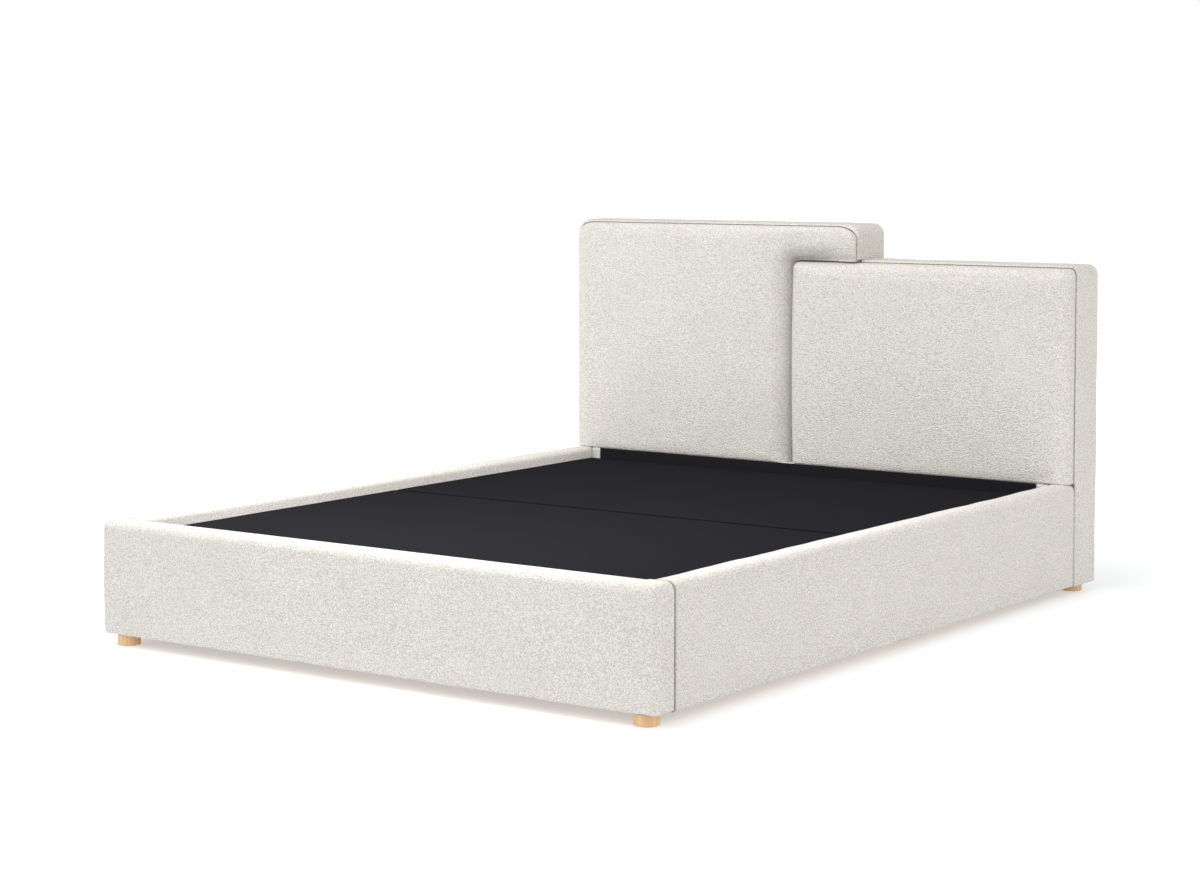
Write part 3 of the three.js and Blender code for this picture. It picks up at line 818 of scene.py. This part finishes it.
def blown(made, still):
    """Lets the cloth swell and pucker with its edge held, and applies the result."""
    start = points_of(made)
    group = made.vertex_groups.new(name="sewn")
    for i, hold in enumerate(still):
        if hold > 0:
            group.add([i], float(hold), "REPLACE")
    cloth = made.modifiers.new("swell", "CLOTH")
    for name, value in SWELL.items():
        setattr(cloth.settings, name, value)
    cloth.settings.effector_weights.gravity = 0
    cloth.point_cache.frame_start = 1
    cloth.point_cache.frame_end = SWELL_FRAMES
    scene = bpy.context.scene
    for number in range(1, SWELL_FRAMES + 1):
        scene.frame_set(number)
    graph = bpy.context.evaluated_depsgraph_get()
    swollen = made.evaluated_get(graph).data
    moved = np.array([v.co for v in swollen.vertices]) - start
    made.modifiers.clear()
    made.vertex_groups.clear()
    length = np.linalg.norm(moved, axis=1, keepdims=True)
    moved *= SWELL_CAP * np.tanh(length / SWELL_CAP) / np.maximum(length, 1e-9)
    move_points(made, start + moved)
    scene.frame_set(1)


def uneven(place, away, seed):
    """Adds the slight waves of a cushion's face, none at its edge."""
    place[:, 1] -= waves(place, FACE_WAVES, (seed,)) * ease(away, 0, 0.04)
    return place


def cushion(panel, edge, face_of, tuck, step_of, painted_shade_of):
    """A crowned cushion. face_of gives each face point's place, tuck the depth of the edge,
    step_of how far each edge point steps in before the sides run back to the board, and
    the last argument how much painted shade darkens each point."""
    name = f"{panel}_headboard_cushion"
    spots, triangles = face_net(edge, PAD_GRID)
    front = tidy_face(new_object(name, face_of(spots), triangles))
    away = distance_to(np.vstack([edge, edge[:1]]), spots)
    still = np.where(away < 0.0005, 1.0, 0.6 * (1 - ease(away, 0.002, 0.020)))
    blown(front, still)
    finer = front.modifiers.new("finer", "SUBSURF")
    finer.levels = finer.render_levels = 1
    finer.boundary_smooth = "PRESERVE_CORNERS"
    baked(front)
    points = points_of(front)
    faces = [tuple(p.vertices) for p in front.data.polygons]
    rim = rim_of(front.data)
    bpy.data.objects.remove(front)
    count = len(rim)
    border = points[rim][:, (0, 2)]
    normal = outward(border)
    ledge = np.full(count, tuck + GROOVE_DEPTH - 2 * GAP)
    lip = border - normal * 0.0004
    step_in = border - normal * step_of(border)[:, None]
    deep = np.full(count, BOARD_FACE - GAP)
    loops = [
        np.column_stack([lip[:, 0], ledge, lip[:, 1]]),
        np.column_stack([step_in[:, 0], ledge + 0.0002, step_in[:, 1]]),
        np.column_stack([step_in[:, 0], deep, step_in[:, 1]]),
    ]
    everything = np.vstack([points, *loops])
    starts = [len(points) + k * count for k in range(3)]
    rows = [rim] + [list(range(start, start + count)) for start in starts]
    for a, b in zip(rows[:-1], rows[1:]):
        for i in range(count):
            j = (i + 1) % count
            faces.append((a[i], b[i], b[j], a[j]))
    faces.append(tuple(rows[3]))
    made = tidy(new_object(name, everything, faces), 70)
    mark_painted_shade(made, lambda spots: painted_shade_of(spots[:, (0, 2)]))
    place_piece(made, CREAM, stands_for=[f"{panel}_cushion"])


def rim_of(mesh):
    """The points of an open mesh's edge, in order round it."""
    uses = {}
    for face in mesh.polygons:
        for key in face.edge_keys:
            uses[key] = uses.get(key, 0) + 1
    beside = {}
    for a, b in (key for key, times in uses.items() if times == 1):
        beside.setdefault(a, []).append(b)
        beside.setdefault(b, []).append(a)
    start = min(beside)
    rim, before = [start], None
    while True:
        following = [p for p in beside[rim[-1]] if p != before]
        before = rim[-1]
        if following[0] == start and len(rim) > 2:
            return rim
        rim.append(following[0])


def tidy_face(front):
    """Turns an open face forwards, towards the foot of the bed."""
    work = bmesh.new()
    work.from_mesh(front.data)
    work.normal_update()
    turned = [f for f in work.faces if f.normal.y > 0]
    bmesh.ops.reverse_faces(work, faces=turned)
    work.to_mesh(front.data)
    work.free()
    return front


def tall_cushion():
    """The tall cushion, whose face sinks into a valley beside and above the short one."""
    left, right = TALL_LEFT + SEAM_INSET + SEAM_GROOVE, TALL_RIGHT - SEAM_INSET - SEAM_GROOVE
    top = TALL_SEAM_TOP - SEAM_GROOVE
    sewn = outline([
        (left, CUSHION_BOTTOM, 0, 0),
        (left, top, *TALL_LEFT_ROLL),
        (right, top, *TALL_RIGHT_ROLL),
        (right, NOTCH_Z, 0, 0),
    ], closed=False)
    nook = outline([
        (right, NOTCH_Z, 0, 0),
        (NOTCH_X, NOTCH_Z, VALLEY_CORNER, VALLEY_CORNER),
        (NOTCH_X, CUSHION_BOTTOM, 0, 0),
    ], closed=False)
    edge = divided(np.vstack([sewn, nook[1:]]), PAD_GRID)
    loop = np.vstack([edge, edge[:1]])
    depth = TALL_SEAM - CUSHION_FACE

    def face_of(spots):
        to_seam = roll_back(distance_to(sewn, spots), CUSHION_ROLL, depth)
        under = roll_back(spots[:, 1] - CUSHION_BOTTOM, UNDERSIDE_ROLL, UNDERSIDE_DEPTH)
        to_nook = roll_back(distance_to(nook, spots) - VALLEY_FLOOR, VALLEY_ROLL, VALLEY_DEPTH)
        to_nook *= 1 - VALLEY_FADE * ease(spots[:, 0], 0.0, TALL_RIGHT)
        recess = (to_seam**4 + to_nook**4 + under**4) ** 0.25
        y = CUSHION_FACE + FACE_BACK + recess
        place = np.column_stack([spots[:, 0], y, spots[:, 1]])
        return uneven(place, distance_to(loop, spots), 51)

    def step_of(border):
        away = np.minimum(distance_to(nook, border), border[:, 1] - CUSHION_BOTTOM)
        return GAP + BAND_THICK * ease(away, 0.001, 0.012)

    def painted_shade_of(spots):
        # painted shade in the valley beside and above the short cushion, weaker towards the right
        pressed = VALLEY_SHADE * (1 - ease(distance_to(nook, spots), 0.002, VALLEY_REACH))
        return pressed * (1 - 0.7 * ease(spots[:, 0], 0.0, TALL_RIGHT))

    cushion("tall", edge, face_of, TALL_SEAM, step_of, painted_shade_of)


def short_cushion():
    """The short cushion, whose free edge swells over the tall one."""
    left, right = SHORT_PAD[0].x, SHORT_RIGHT - SEAM_INSET - SEAM_GROOVE
    top = SHORT_SEAM_TOP - SEAM_GROOVE
    corners = [
        (left, CUSHION_BOTTOM, 0, 0),
        (left, top, 0.020, 0.020),
        (right, top, SHORT_SEAM_ROLL, SHORT_SEAM_ROLL),
        (right, CUSHION_BOTTOM, 0, 0),
    ]
    edge = divided(outline(corners), PAD_GRID)
    loop = np.vstack([edge, edge[:1]])
    sewn = outline(corners, closed=False)
    depth = SHORT_SEAM - CUSHION_FACE
    height = SHORT_SEAM_TOP - CUSHION_BOTTOM

    def face_of(spots):
        to_seam = roll_back(distance_to(sewn, spots), SHORT_ROLL, depth)
        under = roll_back(spots[:, 1] - CUSHION_BOTTOM, UNDERSIDE_ROLL, UNDERSIDE_DEPTH)
        recess = (to_seam**4 + under**4) ** 0.25
        y = CUSHION_FACE + FACE_BACK + recess
        place = np.column_stack([spots[:, 0], y, spots[:, 1]])
        level = np.clip((spots[:, 1] - CUSHION_BOTTOM) / height, 0, 1)
        edge_share = 1 - ease(spots[:, 0] - left, 0.0, 0.05)
        side = np.clip(recess / depth, 0, 1)
        waist = np.sin(math.pi * level) ** 0.7 * np.sin(math.pi * side**1.4)
        place[:, 0] -= EDGE_BULGE * edge_share * waist
        return uneven(place, distance_to(loop, spots), 61)

    def step_of(border):
        away = np.minimum(border[:, 0] - TALL_RIGHT, border[:, 1] - CUSHION_BOTTOM)
        return GAP + BAND_THICK * ease(away, 0.001, 0.012)

    cushion("short", edge, face_of, SHORT_SEAM, step_of, lambda spots: np.zeros(len(spots)))


# ---- deck, lining and back ----------------------------------------------------------------
def soft_block(name, low, high, rolls, steps, uneven, seed):
    """A closed cloth-covered block with rolled edges and slight unevenness."""
    grid = [ticks(low[i], high[i], rolls[i][0], rolls[i][1], steps[i]) for i in range(3)]
    points, faces = block_shell(grid)
    count = len(points)
    each = [tuple(np.full(count, max(r, 1e-5)) for r in rolls[i]) for i in range(3)]
    shaped, direction = rounded(points, low, high, each)
    shaped += direction * (uneven * ripple(shaped, 0.35, seed))[:, None]
    return tidy(new_object(name, shaped, faces))


def deck_cloth(end, seed):
    """A lift-out panel's cloth, rolled more where the two panels meet."""
    low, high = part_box(f"deck_cloth_{end}")
    board_low, board_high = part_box(f"deck_board_{end}")
    meeting, meets = (DECK_ROLL, MEETING_ROLL), high.y
    if end == "head":
        meeting, meets = meeting[::-1], low.y
    made = soft_block(
        f"deck_cover_{end}", low, high, [(DECK_ROLL, DECK_ROLL), meeting, (0.0, DECK_ROLL)],
        (0.03, 0.03, 0.004), 0.0004, seed,
    )
    carve(made, [(
        (board_low.x - GAP, board_low.y - GAP, low.z - 0.01),
        (board_high.x + GAP, board_high.y + GAP, board_high.z + GAP),
    )])
    tidy(made, 50)
    # painted shade along the gap where the two panels meet
    mark_painted_shade(made, lambda spots: 1 - ease(np.abs(spots[:, 1] - meets), 0.002, 0.010))
    place_piece(made, BLACK, f"deck_panel_{end}", [f"deck_cloth_{end}"])


def head_lower():
    """The padded strip under the cushions, and the thin black cloth in front of it."""
    low, high = APRON
    ends = (low.x, high.x)
    rolls = [(0.003, 0.003), (0.009, 0.002), (0.0, 0.010)]
    made = soft_block("head_end_apron", low, high, rolls, (0.02, 0.01, 0.01), 0.0004, 71)
    # painted shade in the joints at both ends of the strip
    mark_painted_shade(made, lambda spots: 0.6 * seam_shade(to_ends(spots[:, 0], *ends)))
    place_piece(made, CREAM, stands_for=["head_apron"])
    low, high = LINING
    made = soft_block("head_end_lining", low, high, THIN_ROLLS, (0.012, 0.01, 0.008), 0.0003, 72)
    place_piece(made, BLACK, stands_for=["head_lining"])


def back_cover(panel, seed):
    """Thin black cloth stapled round its edge, pulled into small folds between the staples."""
    node = f"{panel}_back_cover"
    low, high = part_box(node)
    steps = (0.009, 0.01, 0.009)
    made = soft_block(f"{panel}_dust_cover", low, high, THIN_ROLLS, steps, 0.0, seed)
    spots = points_of(made)
    x, z = spots[:, 0], spots[:, 2]
    sides = np.stack([x - low.x, high.x - x, z - low.z, high.z - z])
    near = sides.min(axis=0)
    along = np.where(sides.argmin(axis=0) < 2, z, x)
    fold = np.sin(along * 2 * math.pi / STAPLE_PITCH) * np.exp(-near / 0.03)
    outer = spots[:, 1] > (low.y + high.y) / 2
    lift = 0.0006 * fold + 0.0007 * ripple(spots, 0.30, seed) * ease(near, 0, 0.06)
    spots[:, 1] += np.where(outer, lift, 0)
    move_points(made, spots)
    place_piece(made, BLACK, stands_for=[node])


def turned_foot(node):
    """A turned foot with eased edges, and the hole for its stud."""
    low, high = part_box(node)
    radius = (high.x - low.x) / 2
    stud_low, stud_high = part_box(f"{node}_stud")
    hole = (stud_high.x - stud_low.x) / 2 + 0.0006
    depth = stud_low.z - GAP
    ease_low, ease_high = 0.0025, 0.0015
    profile = [(0.0, low.z), (radius * 0.5, low.z)]
    for a in np.linspace(0, math.pi / 2, 6):
        up = low.z + ease_low * (1 - math.cos(a))
        profile.append((radius - ease_low + ease_low * math.sin(a), up))
    profile += [(radius, low.z + (high.z - low.z) * s) for s in (0.35, 0.65)]
    for a in np.linspace(0, math.pi / 2, 5):
        up = high.z - ease_high * (1 - math.sin(a))
        profile.append((radius - ease_high * (1 - math.cos(a)), up))
    profile += [(hole, high.z), (hole, depth), (0.0, depth)]
    centre = (low + high) / 2
    points, faces, rows = [], [], []
    for r, z in profile:
        if r == 0:
            rows.append([len(points)] * FOOT_SIDES)
            points.append((centre.x, centre.y, z))
            continue
        rows.append(list(range(len(points), len(points) + FOOT_SIDES)))
        for k in range(FOOT_SIDES):
            a = 2 * math.pi * k / FOOT_SIDES
            points.append((centre.x + r * math.cos(a), centre.y + r * math.sin(a), z))
    for lower, upper in zip(rows[:-1], rows[1:]):
        for k in range(FOOT_SIDES):
            n = (k + 1) % FOOT_SIDES
            corners = list(dict.fromkeys((lower[k], lower[n], upper[n], upper[k])))
            if len(corners) > 2:
                faces.append(corners)
    made = tidy(new_object(f"{node}_turned", points, faces), 40)
    place_piece(made, FOOT_WOOD, stands_for=[node])


# ---- stitches and staples -----------------------------------------------------------------
def row_tree(name, finish, sides, rings):
    """A node tree that sets rounded bars along a line: stitches or staples."""
    tree = bpy.data.node_groups.new(name, "GeometryNodeTree")
    face = tree.interface
    face.new_socket("Geometry", in_out="INPUT", socket_type="NodeSocketGeometry")
    sizes = {"Pitch": 0.007, "Bar Length": 0.005, "Bar Width": 0.001, "Bar Height": 0.001}
    for label, start in sizes.items():
        socket = face.new_socket(label, in_out="INPUT", socket_type="NodeSocketFloat")
        socket.default_value = start
    face.new_socket("Geometry", in_out="OUTPUT", socket_type="NodeSocketGeometry")
    made = {label: tree.nodes.new(kind) for label, kind in {
        "given": "NodeGroupInput",
        "result": "NodeGroupOutput",
        "curve": "GeometryNodeMeshToCurve",
        "spaced": "GeometryNodeResampleCurve",
        "ball": "GeometryNodeMeshUVSphere",
        "size": "ShaderNodeCombineXYZ",
        "shaped": "GeometryNodeTransform",
        "tangent": "GeometryNodeInputTangent",
        "normal": "GeometryNodeInputNormal",
        "aim": "FunctionNodeAlignRotationToVector",
        "lay": "FunctionNodeAlignRotationToVector",
        "bars": "GeometryNodeInstanceOnPoints",
        "real": "GeometryNodeRealizeInstances",
        "painted": "GeometryNodeSetMaterial",
    }.items()}
    made["spaced"].mode = "LENGTH"
    for label, value in (("Segments", sides), ("Rings", rings), ("Radius", 0.5)):
        made["ball"].inputs[label].default_value = value
    made["aim"].axis = "X"
    made["lay"].axis, made["lay"].pivot_axis = "Z", "X"
    made["painted"].inputs["Material"].default_value = finish
    for a, out, b, into in (
        ("given", "Geometry", "curve", "Mesh"),
        ("curve", "Curve", "spaced", "Curve"),
        ("given", "Pitch", "spaced", "Length"),
        ("given", "Bar Length", "size", "X"),
        ("given", "Bar Width", "size", "Y"),
        ("given", "Bar Height", "size", "Z"),
        ("ball", "Mesh", "shaped", "Geometry"),
        ("size", "Vector", "shaped", "Scale"),
        ("tangent", "Tangent", "aim", "Vector"),
        ("aim", "Rotation", "lay", "Rotation"),
        ("normal", "Normal", "lay", "Vector"),
        ("spaced", "Curve", "bars", "Points"),
        ("shaped", "Geometry", "bars", "Instance"),
        ("lay", "Rotation", "bars", "Rotation"),
        ("bars", "Instances", "real", "Geometry"),
        ("real", "Geometry", "painted", "Geometry"),
        ("painted", "Geometry", "result", "Geometry"),
    ):
        tree.links.new(made[a].outputs[out], made[b].inputs[into])
    return tree


def row_of(name, tree, lines, sizes, finish):
    """Bars along open lines of points, as one plain mesh."""
    points, edges = [], []
    for line in lines:
        start = len(points)
        points += line
        edges += [(start + i, start + i + 1) for i in range(len(line) - 1)]
    made = new_object(name, points, [], edges)
    row = made.modifiers.new("row", "NODES")
    row.node_group = tree
    sockets = {s.name: s.identifier for s in tree.interface.items_tree if s.in_out == "INPUT"}
    for label, value in sizes.items():
        row[sockets[label]] = value
    baked(made)
    made.data.shade_smooth()
    place_piece(made, finish)


def seams_and_fixings():
    # the stitches' dark thread carries painted shade along the headboard and rail seams
    stitch = row_tree("stitch_row", THREAD_AND_SHADE, 6, 4)
    staple = row_tree("staple_row", ZINC, 6, 4)
    half_groove = SEAM_GROOVE / 2
    left, right = TALL_LEFT + SEAM_INSET + half_groove, TALL_RIGHT - SEAM_INSET - half_groove
    tall_top, short_top = TALL_SEAM_TOP - half_groove, SHORT_SEAM_TOP - half_groove
    tall = outline([
        (left, RAIL_TOP + STITCH_START, 0, 0),
        (left, tall_top, *TALL_LEFT_ROLL),
        (right, tall_top, *TALL_RIGHT_ROLL),
        (right, NOTCH_Z + STITCH_START, 0, 0),
    ], closed=False)
    short_right = SHORT_RIGHT - SEAM_INSET - half_groove
    short = outline([
        (TALL_RIGHT + STITCH_START, short_top, 0, 0),
        (short_right, short_top, SHORT_SEAM_ROLL, SHORT_SEAM_ROLL),
        (short_right, RAIL_TOP + STITCH_START, 0, 0),
    ], closed=False)
    lines = [
        [(x, TALL_SEAM + STITCH_DEPTH, z) for x, z in divided(tall, 0.01, False)],
        [(x, SHORT_SEAM + STITCH_DEPTH, z) for x, z in divided(short, 0.01, False)],
    ]
    row_of("headboard_stitching", stitch, lines, STITCHES, THREAD_AND_SHADE)
    bottom = RIGHT_RAIL[0].z + 0.012
    rails = []
    for sign in (-1, 1):
        half = sign * (RIGHT_RAIL[1].x - RAIL_STITCH_INSET)
        for y in ((FOOT_RAIL[1].y + RIGHT_RAIL[0].y) / 2, RIGHT_RAIL[1].y + GAP):
            rails.append([(half, y, z) for z in np.arange(bottom, RAIL_TOP - OUTER_ROLL, 0.01)])
    row_of("rail_stitching", stitch, rails, RAIL_STITCHES, THREAD_AND_SHADE)
    lines = []
    for panel in ("tall", "short"):
        low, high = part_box(f"{panel}_back_cover")
        left, right = low.x + STAPLE_EDGE, high.x - STAPLE_EDGE
        bottom, top = low.z + STAPLE_EDGE, high.z - STAPLE_EDGE
        start_gap = low.z + 2 * STAPLE_EDGE
        ring = [(left, bottom), (right, bottom), (right, top), (left, top), (left, start_gap)]
        lines.append([(x, high.y + 0.0004, z) for x, z in divided(np.array(ring), 0.02, False)])
    row_of("dust_cover_staples", staple, lines, STAPLES, ZINC)


# ---- frame parts left as they are ---------------------------------------------------------
def finish_frame():
    """Gives the frame parts their material, with the grain of the pine along each part."""
    upright = ("post", "centre_leg_foot", "centre_leg_head")
    across = (
        "foot_rail_board", "cross_bearer", "foot_ledge", "head_ledge", "top_rail", "lower_rail",
    )
    plain = {"plywood": PLYWOOD, "zinc_steel": ZINC, "black_plastic": PLASTIC}
    named = {s["node"]: s["material_slot"] for s in frame["record"]["subparts"]}
    for node, made in frame["nodes"].items():
        if named.get(node) in plain:
            finish = plain[named[node]]
        elif any(word in node for word in upright):
            finish = PINE_UPRIGHT
        elif any(word in node for word in across):
            finish = PINE_ACROSS
        else:
            finish = PINE_ALONG
        made.data.materials.clear()
        made.data.materials.append(finish)


# ---- studio -------------------------------------------------------------------------------
def studio():
    """White floor and backdrop, soft lights and the camera."""
    scene = bpy.context.scene
    scene.view_settings.view_transform = "Standard"
    scene.view_settings.look = "None"
    sky = bpy.data.worlds.new("studio")
    scene.world = sky
    sky.use_nodes = True
    nodes, link = sky.node_tree.nodes, sky.node_tree.links.new
    glow, backdrop = nodes["Background"], nodes.new("ShaderNodeBackground")
    for light, tint, power in (
        (glow, rgb(1.0, 0.995, 0.985), 0.70), (backdrop, rgb(1.0, 1.0, 1.0), 1.1),
    ):
        light.inputs["Color"].default_value = tint
        light.inputs["Strength"].default_value = power
    seen = nodes.new("ShaderNodeLightPath")
    either = nodes.new("ShaderNodeMixShader")
    link(seen.outputs["Is Camera Ray"], either.inputs["Fac"])
    link(glow.outputs["Background"], either.inputs[1])
    link(backdrop.outputs["Background"], either.inputs[2])
    link(either.outputs["Shader"], nodes["World Output"].inputs["Surface"])

    wide = 60.0
    corners = [(-wide, -wide, 0), (wide, -wide, 0), (wide, wide, 0), (-wide, wide, 0)]
    ground = new_object("studio_floor", corners, [(0, 1, 2, 3)])
    f = Finish("studio_floor")
    speckle = f.noise(f.place, 2.0, 2.0)
    colour = f.blend(speckle.outputs["Fac"], rgb(0.64, 0.64, 0.64), rgb(0.65, 0.65, 0.65))
    ground.data.materials.append(f.finish(
        colour, 0.9,
        Specular_IOR_Level=0.1, Emission_Color=rgb(0.93, 0.972, 1.0), Emission_Strength=0.43,
    ))

    def hang(name, kind, power, tint, towards, at=(0, 0, 0)):
        lamp = bpy.data.lights.new(name, kind)
        lamp.energy, lamp.color = power, tint
        light = bpy.data.objects.new(name, lamp)
        light.location = at
        light.rotation_mode = "QUATERNION"
        light.rotation_quaternion = Vector(towards).to_track_quat("Z", "Y")
        light.visible_camera = False
        scene.collection.objects.link(light)
        return lamp

    for name, power, spread, towards, tint in (
        ("overhead_softbox", 0.72, 55, (-0.30, -0.36, 0.88), (1.0, 0.995, 0.985)),
        ("side_softbox", 0.84, 50, (0.78, -0.27, 0.56), (1.0, 0.955, 0.875)),
        ("left_softbox", 0.33, 60, (-0.75, -0.50, 0.45), (1.0, 1.0, 1.0)),
    ):
        hang(name, "SUN", power, tint, towards).angle = math.radians(spread)
    for name, power, size, at, aim, spread in (
        ("headboard_softbox", 17.0, (2.0, 0.6), (-0.3, -1.10, 0.90), (-0.2, SHORT_SEAM, 0.40), 180),
        ("foot_softbox", 14.0, (2.0, 2.0), (-3.5, -4.0, 1.5), (-0.4, -1.15, 0.30), 180),
        ("deck_softbox", 8.0, (1.8, 1.6), (0.0, -0.45, 1.75), (0.0, -0.45, 0.0), 110),
        ("rail_softbox", 0.32, (1.9, 0.3), (0.72, -0.05, 0.72), (-0.80, -0.05, 0.32), 25),
    ):
        lamp = hang(name, "AREA", power, (1.0, 1.0, 1.0), Vector(at) - Vector(aim), at)
        lamp.shape, (lamp.size, lamp.size_y) = "RECTANGLE", size
        lamp.spread = math.radians(spread)

    view = bpy.data.cameras.new("camera")
    view.lens, view.sensor_width, view.clip_end = 77.728, 36.0, 200
    view.shift_x, view.shift_y = -0.006, -0.10
    camera = bpy.data.objects.new("camera", view)
    camera.location = (4.1017, -5.8533, 1.2965)
    camera.rotation_euler = (math.radians(86.264), 0, math.radians(35.481))
    scene.collection.objects.link(camera)
    scene.camera = camera


studio()
finish_frame()
side_rail("right", 1)
side_rail("left", -1)
foot_rail()
headboard_bands()
tall_cushion()
short_cushion()
deck_cloth("foot", 81)
deck_cloth("head", 82)
head_lower()
back_cover("tall", 91)
back_cover("short", 92)
for corner in ("front_left", "front_right", "rear_left", "rear_right"):
    turned_foot(f"{corner}_foot")
seams_and_fixings()
